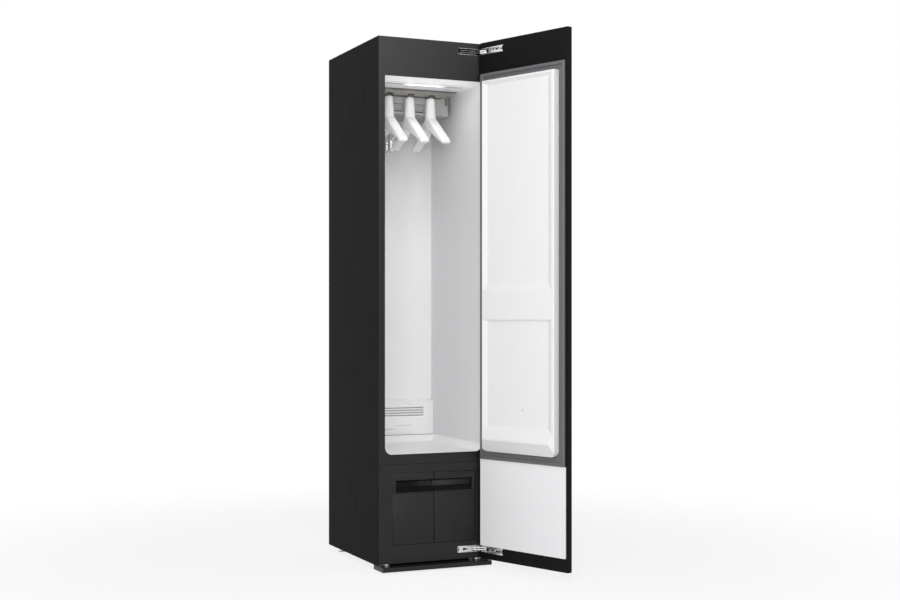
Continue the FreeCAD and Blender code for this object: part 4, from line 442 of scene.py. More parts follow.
@dataclass(frozen=True)
class RailMetal(DrawnMetal):
    """Drawn rail metal with painted shade in the seam under the ceiling and along its lower lip.

    Args:
        seam: Height of the seam.
        lip: Height of the lower lip.
        fade: Height over which the painted shade darkens the metal at the seam.
        shade: Share of the painted shade's tone at the seam and the lip.
        painted_shade_tone: Share of the base colour in the painted shade.
    """

    seam: float = 1.8045
    lip: float = 1.7855
    fade: float = 7.0 * MM
    shade: float = 0.8
    painted_shade_tone: float = 0.18

    def make(self) -> bpy.types.Material:
        """Build the drawn metal with its two bands of painted shade.

        Returns:
            The new material.
        """
        material = super().make()
        sheet = Sheet(material.node_tree)
        base = material.node_tree.nodes[PRINCIPLED].inputs["Base Color"]
        height = sheet.axis(sheet.place(), "Z")
        # Painted shade: the metal darkens towards the seam under the ceiling and along the lower lip.
        seam = sheet.ramp(height, self.seam - self.fade, self.seam, 0.0, self.shade)
        lip = sheet.ramp(height, self.lip, self.lip + self.fade / 2, self.shade, 0.0)
        edges = sheet.math("MAXIMUM", seam, lip)
        sheet.put(sheet.blend(edges, base.links[0].from_socket, self.darker(self.painted_shade_tone)), base)
        return material


@dataclass(frozen=True)
class LightStrip(Finish):
    """Milky diffuser over a row of diodes: bright in the middle, cool and dim at the ends.

    Args:
        glow: Emission strength in the middle.
        bright_half: Half length of the fully lit middle.
        dark_half: Distance from the middle where the light has faded.
        diode_turn: Radians of the diodes' ripple per metre.
        ripple: Strength of the ripple.
        fading: Colour of the fading light.
        full: Colour of the full light.
    """

    glow: float = 2.6
    bright_half: float = 0.052
    dark_half: float = 0.108
    diode_turn: float = 420.0
    ripple: float = 0.05
    fading: Colour = (0.42, 0.36, 1.0)
    full: Colour = (1.0, 0.99, 1.0)

    def make(self) -> bpy.types.Material:
        """Build the lit diffuser.

        Returns:
            The new material.
        """
        material, sheet, shader, place = self._open()
        self._marks(sheet, shader, place)
        across = sheet.axis(place, "X")
        lit = sheet.ramp(sheet.math("ABSOLUTE", across), self.bright_half, self.dark_half, 1.0, 0.0)
        wave = sheet.math("COSINE", sheet.math("MULTIPLY", across, self.diode_turn))
        spots = sheet.math("ADD", sheet.math("MULTIPLY", wave, self.ripple), 1.0 - self.ripple)
        shade = sheet.add("ShaderNodeVectorMath", operation="SCALE")
        sheet.put(sheet.blend(lit, self.fading, self.full), shade.inputs[0])
        sheet.feed(shade, Scale=sheet.math("MULTIPLY", sheet.math("POWER", lit, 2.0), spots))
        sheet.feed(shader, Emission_Color=shade.outputs[0], Emission_Strength=self.glow)
        return material


@dataclass(frozen=True)
class ClearPlastic(Finish):
    """Smoky translucent plastic of a water tank.

    Args:
        transmission: Share of light that passes.
        ior: Index of refraction.
    """

    transmission: float = 0.55
    ior: float = 1.5

    def make(self) -> bpy.types.Material:
        """Build the translucent surface.

        Returns:
            The new material.
        """
        material = super().make()
        shader = material.node_tree.nodes[PRINCIPLED]
        Sheet(material.node_tree).feed(shader, Transmission_Weight=self.transmission, IOR=self.ior)
        return material


@dataclass(frozen=True)
class FinPack(Finish):
    """Stack of thin aluminium fins, with the shade in the gaps between them painted as dark stripes.

    Args:
        pitch: Distance between fins.
        gap_shade_tone: Share of the base colour in the painted shade of the gaps.
    """

    pitch: float = 2.1 * MM
    gap_shade_tone: float = 0.35

    def make(self) -> bpy.types.Material:
        """Build the finned surface.

        Returns:
            The new material.
        """
        material, sheet, shader, place = self._open()
        marks = self._marks(sheet, shader, place)
        turn = sheet.math("MULTIPLY", sheet.axis(place, "X"), 2 * math.pi / self.pitch)
        fin = sheet.ramp(sheet.math("SINE", turn), low=-0.6, high=0.6)
        # Dark stripes between the fins: painted shade.
        dark = self.darker(self.gap_shade_tone)
        sheet.feed(shader, Base_Color=sheet.blend(fin, dark, marks.outputs["Colour"]))
        self._bump(sheet, shader, fin)
        return material


class Finishes:
    """Every finish of the cabinet."""

    OUTER = Finish("coated_side_sheet", "outer_sheet", (0.0050, 0.0050, 0.0055), (0.0080, 0.0080, 0.0085),
                   amount=0.35, roughness=0.50, grain=1500.0, depth=0.00003, specular=0.02)
    FASCIA = Finish("satin_fascia", "fascia", (0.0100, 0.0100, 0.0107), (0.016, 0.016, 0.017),
                    amount=0.25, roughness=0.38, spread=0.06, grain=1600.0, specular=0.28)
    GLASS = Finish("back_painted_glass", "door_glass", (0.012, 0.012, 0.013), (0.020, 0.020, 0.021),
                   roughness=0.12, spread=0.04, grain=300.0, depth=0.000004, coat=1.0, coat_roughness=0.03)
    BLACK = Finish("black_moulding", "black_plastic", (0.0072, 0.0072, 0.0077), (0.013, 0.013, 0.0136),
                   roughness=0.46, spread=0.08, grain=1800.0, depth=0.00004, specular=0.06)
    WHITE = Finish("white_chamber_moulding", "white_plastic", (0.85, 0.85, 0.857), (0.82, 0.82, 0.827),
                   roughness=0.42, specular=0.25)
    # Whiter copy of the white moulding for the chamber's ceiling, back, floor and fittings: painted light.
    CHAMBER_PAINTED_LIGHT = Finish("white_chamber_panel_painted_light", "white_plastic", (0.93, 0.93, 0.935), (0.90, 0.90, 0.905),
                     roughness=0.36, specular=0.35)
    # The hangers take the whiter copy's colour, so their white is painted light too.
    HANGER = replace(CHAMBER_PAINTED_LIGHT, name="white_hanger_painted_light", roughness=0.45, specular=0.2)
    # Greyer copy of the same white moulding for the chamber's side walls: painted shade.
    WALL_PAINTED_SHADE = Finish("white_chamber_wall_painted_shade", "white_plastic", (0.79, 0.79, 0.80), (0.76, 0.76, 0.77),
                  roughness=0.38, specular=0.3)
    PANEL = Finish("white_door_panel", "white_panel", (0.87, 0.87, 0.885), (0.84, 0.84, 0.855),
                   roughness=0.32, spread=0.06, specular=0.3)
    GASKET = Finish("grey_gasket", "gasket", (0.125, 0.125, 0.132), (0.17, 0.17, 0.175), amount=0.4,
                    roughness=0.62, spread=0.10, grain=1400.0, depth=0.00006)
    GREY = Finish("grey_air_housing", "housing_grey", (0.45, 0.45, 0.44), (0.41, 0.41, 0.40), amount=0.4,
                  roughness=0.45, spread=0.08, grain=1300.0, depth=0.00004)
    # Dark grey of the hooks, set to the tone of the shade under the rail and so partly painted shade; also
    # the notch sheets' painted shade.
    HOOK_AND_SHADE = Finish("grey_hook_and_painted_shade", "housing_grey", (0.24, 0.235, 0.225), (0.27, 0.265, 0.255),
                  roughness=0.48, spread=0.08, grain=1300.0, depth=0.00003)
    RAIL = RailMetal("drawn_rail_painted_shade", "rail_metal", (0.52, 0.50, 0.46), (0.58, 0.56, 0.53), roughness=0.36,
                     spread=0.06, metallic=0.5)
    DARK_ZINC = DrawnMetal("dark_zinc", "zinc", (0.055, 0.055, 0.057), (0.09, 0.09, 0.092), amount=0.4,
                           roughness=0.34, spread=0.10, depth=0.00001, metallic=0.85, tone=0.2)
    ZINC = DrawnMetal("zinc_hinge_plate", "zinc", (0.78, 0.78, 0.79), (0.66, 0.66, 0.67), amount=0.4,
                      roughness=0.26, spread=0.10, depth=0.00001, metallic=0.9, along=Along.Z, tone=0.2)
    CHROME = DrawnMetal("bright_chrome", "chrome", (0.82, 0.82, 0.83), (0.75, 0.75, 0.76), amount=0.25,
                        roughness=0.12, spread=0.06, depth=0.000004, metallic=1.0, along=Along.Y, tone=0.1)
    LENS = LightStrip("lit_diffuser", "lens", (0.52, 0.52, 0.55), (0.48, 0.48, 0.52), amount=0.2,
                      roughness=0.35, spread=0.05)
    GALVANISED = DrawnMetal("galvanised_sheet", "galvanised", (0.50, 0.51, 0.52), (0.60, 0.61, 0.62),
                            amount=0.7, roughness=0.42, spread=0.15, metallic=0.8, tone=0.25)
    TANK = ClearPlastic("smoky_tank", "tank_plastic", (0.42, 0.44, 0.46), (0.38, 0.40, 0.42),
                        roughness=0.22, spread=0.06)
    MACHINE = Finish("machine_black_paint", "machine_black", (0.016, 0.016, 0.017), (0.05, 0.05, 0.05),
                     amount=0.35, roughness=0.36, spread=0.1, grain=700.0, depth=0.00006)
    FINS = FinPack("fin_pack", "fins", (0.66, 0.67, 0.68), (0.56, 0.57, 0.58), amount=0.4, roughness=0.35,
                   spread=0.1, depth=0.0004, metallic=0.85)
    PUMP = Finish("pump_nylon", "pump_plastic", (0.30, 0.31, 0.33), (0.36, 0.37, 0.38), amount=0.4,
                  roughness=0.5, spread=0.1, grain=1100.0, depth=0.00005)


# --------------------------------------------------------------------- mesh helpers
class Keep(Enum):
    """Sides of a cutting plane that stay; above is where its normal points."""

    BOTH = 0
    ABOVE = 1
    BELOW = 2


def added(name: str, data: bpy.types.ID) -> bpy.types.Object:
    """Add an object to the scene.

    Args:
        name: Name of the object.
        data: The mesh, lamp or camera that it holds.

    Returns:
        The new object.
    """
    made = bpy.data.objects.new(name, data)
    bpy.context.scene.collection.objects.link(made)
    return made


def mesh_from(name: str, bm: BMesh) -> bpy.types.Mesh:
    """Turn a bmesh into a mesh.

    Args:
        name: Name of the mesh.
        bm: The bmesh, which is freed.

    Returns:
        The new mesh.
    """
    mesh = bpy.data.meshes.new(name)
    bm.to_mesh(mesh)
    bm.free()
    return mesh


def place_matrix(centre: Point, direction: Point) -> Matrix:
    """Return the transform that stands a shape made along +Z at a point, facing a direction."""
    turn = Vector((0.0, 0.0, 1.0)).rotation_difference(Vector(direction)).to_matrix().to_4x4()
    return Matrix.Translation(Vector(centre)) @ turn


def spun(bm: BMesh, profile: Sequence[tuple[float, float]], steps: int) -> list[bmesh.types.BMVert]:
    """Spin a profile of (radius, height) points about +Z into a turned shape.

    Args:
        bm: The mesh to add to.
        profile: Points from the axis, round the outside and, for a closed shape, back to the axis.
        steps: Facets round the turn.

    Returns:
        The vertices of the turned shape.
    """
    before = set(bm.verts)
    verts = [bm.verts.new((radius, 0.0, height)) for radius, height in profile]
    edges = [bm.edges.new(pair) for pair in zip(verts, verts[1:])]
    bmesh.ops.spin(bm, geom=verts + edges, cent=(0, 0, 0), axis=(0, 0, 1), angle=2 * math.pi, steps=steps,
                   use_merge=True, use_duplicate=False)
    bmesh.ops.remove_doubles(bm, verts=[v for v in bm.verts if v not in before], dist=MERGE)
    return [v for v in bm.verts if v not in before]


def rounded(bm: BMesh, edges: Sequence[bmesh.types.BMEdge], radius: float, clamp: bool = True) -> None:
    """Round edges to a radius in two steps; clamped roundings stop where they meet."""
    bmesh.ops.bevel(bm, geom=edges, offset=radius, offset_type="OFFSET", segments=2, profile=0.5,
                    affect="EDGES", clamp_overlap=clamp, material=-1)


def slab(bm: BMesh, low: Point, high: Point, edge: float) -> None:
    """Add a block between two corners, with its edges rounded.

    Args:
        bm: The mesh to add to.
        low: Lowest corner.
        high: Highest corner.
        edge: Radius of the edges.
    """
    before = set(bm.verts)
    size = Vector(high) - Vector(low)
    matrix = Matrix.Translation((Vector(high) + Vector(low)) / 2) @ Matrix.Diagonal((*size, 1.0))
    bmesh.ops.create_cube(bm, size=1.0, matrix=matrix)
    rounded(bm, [e for e in bm.edges if all(v not in before for v in e.verts)], edge)


def rod(bm: BMesh, start: Point, end: Point, radius: float) -> None:
    """Add a round rod with chamfered ends between two points.

    Args:
        bm: The mesh to add to.
        start: Middle of one end.
        end: Middle of the other end.
        radius: Radius of the rod.
    """
    reach = Vector(end) - Vector(start)
    length, chamfer = reach.length, 0.25 * radius
    profile = [(0.0, 0.0), (radius - chamfer, 0.0), (radius, chamfer), (radius, length - chamfer),
               (radius - chamfer, length), (0.0, length)]
    matrix = place_matrix(start, tuple(reach.normalized()))
    bmesh.ops.transform(bm, matrix=matrix, verts=spun(bm, profile, ROD_STEPS))


def merged_copy(node: str) -> BMesh:
    """Copy a CAD node's mesh, with its triangles merged into whole faces.

    Args:
        node: The CAD node.

    Returns:
        The copy.
    """
    bm = bmesh.new()
    bm.from_mesh(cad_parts[node].data)
    bmesh.ops.remove_doubles(bm, verts=bm.verts, dist=MERGE)
    bmesh.ops.dissolve_limit(bm, angle_limit=math.radians(FLAT_ANGLE), verts=bm.verts, edges=bm.edges)
    return bm


def soften(bm: BMesh, radius: float) -> None:
    """Round the sharp outer edges of a mesh.

    Args:
        bm: The mesh.
        radius: Radius of the rounding.
    """
    limit = math.radians(SHARP_ANGLE)
    sharp = [e for e in bm.edges if len(e.link_faces) == 2 and e.calc_face_angle_signed(0.0) > limit]
    rounded(bm, sharp, radius, clamp=False)


def cut(bm: BMesh, place: Point, normal: Point, keep: Keep) -> None:
    """Cut a closed mesh along a plane and close it again where a side is dropped.

    Args:
        bm: The mesh.
        place: A point of the plane.
        normal: The plane's normal.
        keep: The side that stays.
    """
    bmesh.ops.bisect_plane(bm, geom=[*bm.verts, *bm.edges, *bm.faces], dist=MERGE, plane_co=place,
                           plane_no=normal, clear_outer=keep is Keep.BELOW, clear_inner=keep is Keep.ABOVE)
    bmesh.ops.holes_fill(bm, edges=[e for e in bm.edges if e.is_boundary], sides=0)


def remeshed(bm: BMesh, voxel: float, rounds: int) -> BMesh:
    """Fuse overlapping closed forms into one skin and smooth it.

    Args:
        bm: The forms, which are freed.
        voxel: Size of the skin's facets.
        rounds: Rounds of smoothing.

    Returns:
        The smooth skin.
    """
    forms = mesh_from("fused", bm)
    holder = added("fused", forms)
    fuse = holder.modifiers.new("fuse", "REMESH")
    fuse.mode = "VOXEL"
    fuse.voxel_size = voxel
    bpy.context.view_layer.update()
    done = bpy.data.meshes.new_from_object(holder.evaluated_get(bpy.context.evaluated_depsgraph_get()))
    skin = bmesh.new()
    skin.from_mesh(done)
    bpy.data.objects.remove(holder)
    for spare in (done, forms):
        bpy.data.meshes.remove(spare)
    for _ in range(rounds):
        bmesh.ops.smooth_vert(skin, verts=skin.verts, factor=0.5, use_axis_x=True, use_axis_y=True,
                              use_axis_z=True)
    return skin


def finish_mesh(name: str, bm: BMesh, finish: Finish, body: str, replaced: Iterable[str] = (),
                smooth: float = 35.0) -> None:
    """Turn a bmesh into a scene piece with its finish and body.

    Args:
        name: Name of the piece.
        bm: The finished bmesh, which is freed.
        finish: The finish it wears.
        body: The CAD body it rides on.
        replaced: CAD nodes that it stands for.
        smooth: Angle in degrees below which edges are shaded smooth.
    """
    bmesh.ops.remove_doubles(bm, verts=bm.verts, dist=MERGE / 10)
    bmesh.ops.recalc_face_normals(bm, faces=bm.faces)
    mesh = mesh_from(name, bm)
    piece = added(name, mesh)
    mesh.materials.append(finish.material())
    mesh.shade_smooth()
    mesh.set_sharp_from_angle(angle=math.radians(smooth))
    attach(piece, body)
    if replaced:
        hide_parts(*replaced)
    log.info("piece %s on %s, %d faces", name, body, len(mesh.polygons))


def softened(node: str, finish: Finish, body: str, radius: float) -> None:
    """Stand a copy of a CAD node with rounded edges in its place.

    Args:
        node: The CAD node.
        finish: The finish it wears.
        body: The CAD body it rides on.
        radius: Radius of the rounding.
    """
    bm = merged_copy(node)
    soften(bm, radius)
    finish_mesh(f"{node}_rounded", bm, finish, body, (node,))


def dress(finish: Finish, *nodes: str) -> None:
    """Give CAD nodes a finish.

    Args:
        finish: The finish.
        nodes: Names of the CAD nodes.
    """
    for name in nodes:
        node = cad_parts[name]
        if not node.material_slots:
            node.data.materials.append(finish.material())
        for entry in node.material_slots:
            entry.material = finish.material()
        log.info("dressed %s in %s", name, finish.name)


def middle(node: str) -> Vector:
    """Return the centre of a CAD node's box."""
    low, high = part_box(node)
    return (low + high) / 2


# ------------------------------------------------------------ screws and the door's face
@dataclass(frozen=True)
class ScrewHead:
    """Pan-head screw with a cross recess.

    Args:
        radius: Radius of the head.
        height: Height of the head.
        recess: Depth of the cross.
        dome: Outline of the head, in shares of its radius and height.
        rim: Width of the rim round the cross, in shares of the radius.
        cross: Shares that the rim's corners are drawn in to, in turn round each arm of the cross.
        steps: Facets round the head.
    """

    radius: float = 3.4 * MM
    height: float = 1.6 * MM
    recess: float = 1.0 * MM
    dome: tuple[tuple[float, float], ...] = ((0.0, 0.0), (1.0, 0.0), (1.0, 0.35), (0.86, 0.8), (0.62, 1.0))
    rim: float = 0.08
    cross: tuple[float, ...] = (1.0, 0.55, 0.32, 0.55)
    steps: int = 16

    def add(self, bm: BMesh, centre: Point, direction: Point, twist: float = 0.0) -> None:
        """Add one head to a mesh.

        Args:
            bm: The mesh to add to.
            centre: Middle of the head's seat.
            direction: Where the head faces.
            twist: Turn of the cross in degrees.
        """
        before = set(bm.verts)
        spun(bm, [(across * self.radius, up * self.height) for across, up in self.dome], self.steps)
        edge = [e for e in bm.edges if e.is_boundary and all(v not in before for v in e.verts)]
        cap = bmesh.ops.contextual_create(bm, geom=edge)["faces"]
        bmesh.ops.inset_individual(bm, faces=cap, thickness=self.rim * self.radius, depth=0.0)
        corners = sorted({v for f in cap for v in f.verts}, key=lambda v: math.atan2(v.co.y, v.co.x))
        for index, vert in enumerate(corners):
            vert.co.xy = vert.co.xy * self.cross[index % len(self.cross)]
        pushed = bmesh.ops.extrude_discrete_faces(bm, faces=cap)["faces"]
        bottom = list({v for f in pushed for v in f.verts})
        bmesh.ops.translate(bm, verts=bottom, vec=(0.0, 0.0, -self.recess))
        turn = place_matrix(centre, direction) @ Matrix.Rotation(math.radians(twist), 4, "Z")
        bmesh.ops.transform(bm, matrix=turn, verts=[v for v in bm.verts if v not in before])


@dataclass(frozen=True)
class DoorFace:
    """Places on the open door's inner face, measured from its hinge edge.

    Args:
        pin: Place of the hinge pin.
        edge: Hinge edge of the inner face from the pin, with the door closed.
        swing: Angle of the open door in degrees.
    """

    pin: tuple[float, float] = (200.5 * MM, -299.0 * MM)
    edge: tuple[float, float] = (21.0 * MM, 14.0 * MM)
    swing: float = 109.7

    def turned(self, vector: Point) -> Vector:
        """Return a direction of the closed door as it is with the door open."""
        return Matrix.Rotation(math.radians(self.swing), 3, "Z") @ Vector(vector)

    def along(self) -> Vector:
        """Return the direction from the hinge edge to the free edge."""
        return self.turned((-1.0, 0.0, 0.0))

    def outward(self) -> Vector:
        """Return the direction that the inner face looks in."""
        return self.turned((0.0, 1.0, 0.0))

    def point(self, distance: float, height: float, level: float) -> Vector:
        """Return a place by its distance from the hinge edge, height off the face and floor level."""
        edge = self.turned((*self.edge, 0.0))
        return Vector((*self.pin, level)) + edge + self.along() * distance + self.outward() * height


DOOR_FACE = DoorFace()


# ---------------------------------------------------------------------------- studio
@dataclass(frozen=True)
class Lamp:
    """Soft rectangular lamp.

    Args:
        name: Name of the lamp.
        at: Where it hangs.
        aim: The point it faces.
        size: Width and height.
        power: Radiant power in watts.
        gloss_only: Whether it shows in gloss and lights nothing else.
    """

    name: str
    at: Point
    aim: Point
    size: tuple[float, float]
    power: float
    gloss_only: bool = False

    def hang(self) -> None:
        """Add the lamp to the scene."""
        data = bpy.data.lights.new(self.name, "AREA")
        data.shape = "RECTANGLE"
        data.size, data.size_y = self.size
        data.energy = self.power
        lamp = added(self.name, data)
        lamp.location = self.at
        lamp.visible_diffuse = not self.gloss_only
        lamp.rotation_euler = (Vector(self.aim) - Vector(self.at)).to_track_quat("-Z", "Y").to_euler()


@dataclass
class Studio:
    """Pale studio: floor, world, lamps and the camera.

    Args:
        camera_at: Where the camera stands.
        heading: How far the camera looks to the right of +Y, in degrees.
        lens: Focal length in millimetres.
        sensor: Width of the sensor in millimetres.
        rise: Vertical shift of the picture, in picture widths.
        clip: Farthest distance that the camera shows.
        fill: World light on the object.
        floor_half: Half the side of the floor.
        floor_tone: Colour of the floor where shadows fall on it.
        shadow_end: Distances from the object between which the floor turns wholly white.
        shadow_share: Share of white at the nearer distance.
        lamps: The lamps.
    """

    camera_at: Point = (-2.06895, -5.09895, 0.939)
    heading: float = 23.85
    lens: float = 56.614
    sensor: float = 36.0
    rise: float = 0.01729
    clip: float = 200.0
    fill: float = 0.56
    floor_half: float = 30.0
    floor_tone: Colour = (0.86, 0.86, 0.86)
    shadow_end: tuple[float, float] = (0.9, 2.6)
    shadow_share: float = 0.80
    lamps: tuple[Lamp, ...] = (
        Lamp("front_softbox", (0.55, -3.2, 2.7), (0.0, -0.1, 1.2), (0.7, 0.7), 18.0, gloss_only=True),
        Lamp("left_softbox", (-2.9, -2.4, 1.7), (0.1, -0.3, 1.1), (1.4, 2.2), 10.0),
        Lamp("middle_softbox", (-1.5, -3.1, 1.3), (0.0, -0.1, 1.1), (0.9, 1.4), 24.0),
        Lamp("high_softbox", (-0.7, -2.6, 3.4), (0.0, -0.1, 0.9), (0.7, 0.7), 27.0),
        Lamp("low_softbox", (-0.6, -2.6, 0.3), (0.0, -0.1, 1.75), (1.0, 0.4), 3.0),
        Lamp("chamber_light", (0.0, -0.16, 1.79), (0.0, -0.16, 0.5), (0.3, 0.05), 0.06),
        Lamp("ceiling_glow", (0.0, -0.23, 1.74), (0.0, -0.23, 1.806), (0.32, 0.06), 0.045),
    )

    def camera(self) -> None:
        """Create the camera and make it the scene's own."""
        data = bpy.data.cameras.new("studio_camera")
        data.sensor_fit = "HORIZONTAL"
        data.sensor_width = self.sensor
        data.lens = self.lens
        data.shift_y = self.rise
        data.clip_end = self.clip
        camera = added("studio_camera", data)
        camera.location = self.camera_at
        camera.rotation_euler = (math.radians(90.0), 0.0, math.radians(-self.heading))
        bpy.context.scene.camera = camera

    def world(self) -> None:
        """Light the object softly and show a white background to the camera and to gloss."""
        world = bpy.data.worlds.new("studio_world")
        world.use_nodes = True
        bpy.context.scene.world = world
        sheet = Sheet(world.node_tree)
        world.node_tree.nodes.clear()
        soft, plain = (sheet.feed(sheet.add("ShaderNodeBackground"), Color=PLAIN_WHITE, Strength=light)
                       for light in (self.fill, 1.0))
        sheet.output("ShaderNodeOutputWorld", sheet.seen(), soft, plain)

    def floor(self) -> None:
        """Lay a pale floor that is white to the camera and keeps a soft shadow."""
        bm = bmesh.new()
        bmesh.ops.create_grid(bm, x_segments=1, y_segments=1, size=self.floor_half)
        mesh = mesh_from("studio_floor", bm)
        floor = added("studio_floor", mesh)
        material = bpy.data.materials.new("pale_floor")
        material.use_nodes = True
        sheet = Sheet(material.node_tree)
        material.node_tree.nodes.clear()
        length = sheet.add("ShaderNodeVectorMath", operation="LENGTH")
        sheet.put(sheet.place(), length.inputs[0])
        far = sheet.ramp(length.outputs["Value"], *self.shadow_end, self.shadow_share, 1.0)
        matt = sheet.feed(sheet.add("ShaderNodeBsdfDiffuse"), Color=(*self.floor_tone, 1.0))
        plain = sheet.feed(sheet.add("ShaderNodeEmission"), Color=PLAIN_WHITE, Strength=1.0)
        white = sheet.math("MULTIPLY", sheet.seen(), far)
        sheet.output("ShaderNodeOutputMaterial", white, matt, plain)
        mesh.materials.append(material)

    def build(self) -> None:
        """Set the whole studio up."""
        bpy.context.scene.view_settings.view_transform = "Standard"
        self.camera()
        self.world()
        self.floor()
        for lamp in self.lamps:
            lamp.hang()


# ------------------------------------------------------------------ the cabinet's parts
@dataclass
class Cladding:
    """Outer sheets, fascia and base.

    Args:
        screw: Screw of the rear sheet.
        rear_rows: Heights of the rear screws.
        screw_inset: Distance of the rear screws from the sheet's edge.
        screw_sunk: How far the rear screws are dimpled into the sheet.
        screw_twist: Turn from one screw's cross to the next, in degrees.
    """

    screw: ScrewHead = field(default_factory=ScrewHead)
    rear_rows: tuple[float, ...] = (0.05, 0.42, 0.80, 1.18, 1.56, 1.93)
    screw_inset: float = 9.0 * MM
    screw_sunk: float = 0.5 * MM
    screw_twist: float = 37.0

    def build(self) -> None:
        """Dress the sheets and add the rear sheet's screws."""
        dress(Finishes.OUTER, "side_panel_left", "side_panel_right", "top_panel")
        dress(Finishes.FASCIA, "front_frame", "front_lower_panel", "plinth")
        dress(Finishes.BLACK, "tank_bay", "power_inlet")
        dress(Finishes.GALVANISED, "rear_panel", "base_pan", "top_shelf")
        dress(Finishes.ZINC, "foot_front_left", "foot_front_right", "foot_rear_left", "foot_rear_right")
        low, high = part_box("rear_panel")
        bm = bmesh.new()
        for side in (low.x + self.screw_inset, high.x - self.screw_inset):
            for number, height in enumerate(self.rear_rows):
                self.screw.add(bm, (side, high.y - self.screw_sunk, height), (0.0, 1.0, 0.0),
                               self.screw_twist * number)
        finish_mesh("rear_sheet_screws", bm, Finishes.ZINC, "cabinet")


@dataclass
class Chamber:
    """White treatment chamber with its light, rail and air fittings.

    Args:
        outlet_half: Half length of the black sheet of painted shade behind the two air slits.
        outlet_low: Height of the sheet's lower edge.
        outlet_high: Height of the sheet's upper edge.
        outlet_back: Depth of the sheet behind the housing's face.
        outlet_thickness: Thickness of the sheet.
        notch_centre: Distance of the side notches from the middle.
        notch_half: Half width of a notch's grey sheet of painted shade.
        notch_low: Height of that sheet's lower edge.
        notch_high: Height of that sheet's upper edge.
        notch_back: Depth of the notches behind the housing's face.
        notch_thickness: Thickness of that sheet.
    """

    outlet_half: float = 76.0 * MM
    outlet_low: float = 1727.0 * MM
    outlet_high: float = 1737.0 * MM
    outlet_back: float = 17.0 * MM
    outlet_thickness: float = 2.0 * MM
    notch_centre: float = 165.0 * MM
    notch_half: float = 6.3 * MM
    notch_low: float = 1762.3 * MM
    notch_high: float = 1792.7 * MM
    notch_back: float = 14.0 * MM
    notch_thickness: float = 1.0 * MM

    def duct_painted_shade(self) -> None:
        """Put dark sheets behind the air slits and in the side notches: painted shade."""
        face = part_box("jet_housing")[0].y
        back = face + self.outlet_back
        bm = bmesh.new()
        # Black sheet behind the air slits: painted shade.
        slab(bm, (-self.outlet_half, back, self.outlet_low),
             (self.outlet_half, back + self.outlet_thickness, self.outlet_high), edge=0.4 * MM)
        finish_mesh("duct_painted_shade", bm, Finishes.BLACK, "cabinet")
        back = face + self.notch_back
        bm = bmesh.new()
        # Grey sheets in the side notches: painted shade.
        for centre in (-self.notch_centre, self.notch_centre):
            slab(bm, (centre - self.notch_half, back - self.notch_thickness, self.notch_low),
                 (centre + self.notch_half, back, self.notch_high), edge=0.3 * MM)
        finish_mesh("notch_painted_shade", bm, Finishes.HOOK_AND_SHADE, "cabinet")

    def build(self) -> None:
        """Dress the chamber's walls and fittings."""
        # Side walls: the greyer copy of the white moulding, painted shade.
        dress(Finishes.WALL_PAINTED_SHADE, "chamber_side_left", "chamber_side_right")
        # Ceiling, back, floor and nozzle: the whiter copy of the moulding, painted light.
        dress(Finishes.CHAMBER_PAINTED_LIGHT, "chamber_back", "chamber_floor", "chamber_ceiling", "steam_nozzle")
        dress(Finishes.LENS, "light_lens")
        softened("intake_cover", Finishes.CHAMBER_PAINTED_LIGHT, "cabinet", radius=0.9 * MM)
        softened("lint_filter", Finishes.CHAMBER_PAINTED_LIGHT, "lint_filter", radius=0.5 * MM)
        softened("hanger_rail", Finishes.RAIL, "cabinet", radius=0.6 * MM)
        softened("jet_housing", Finishes.GREY, "cabinet", radius=1.0 * MM)
        self.duct_painted_shade()


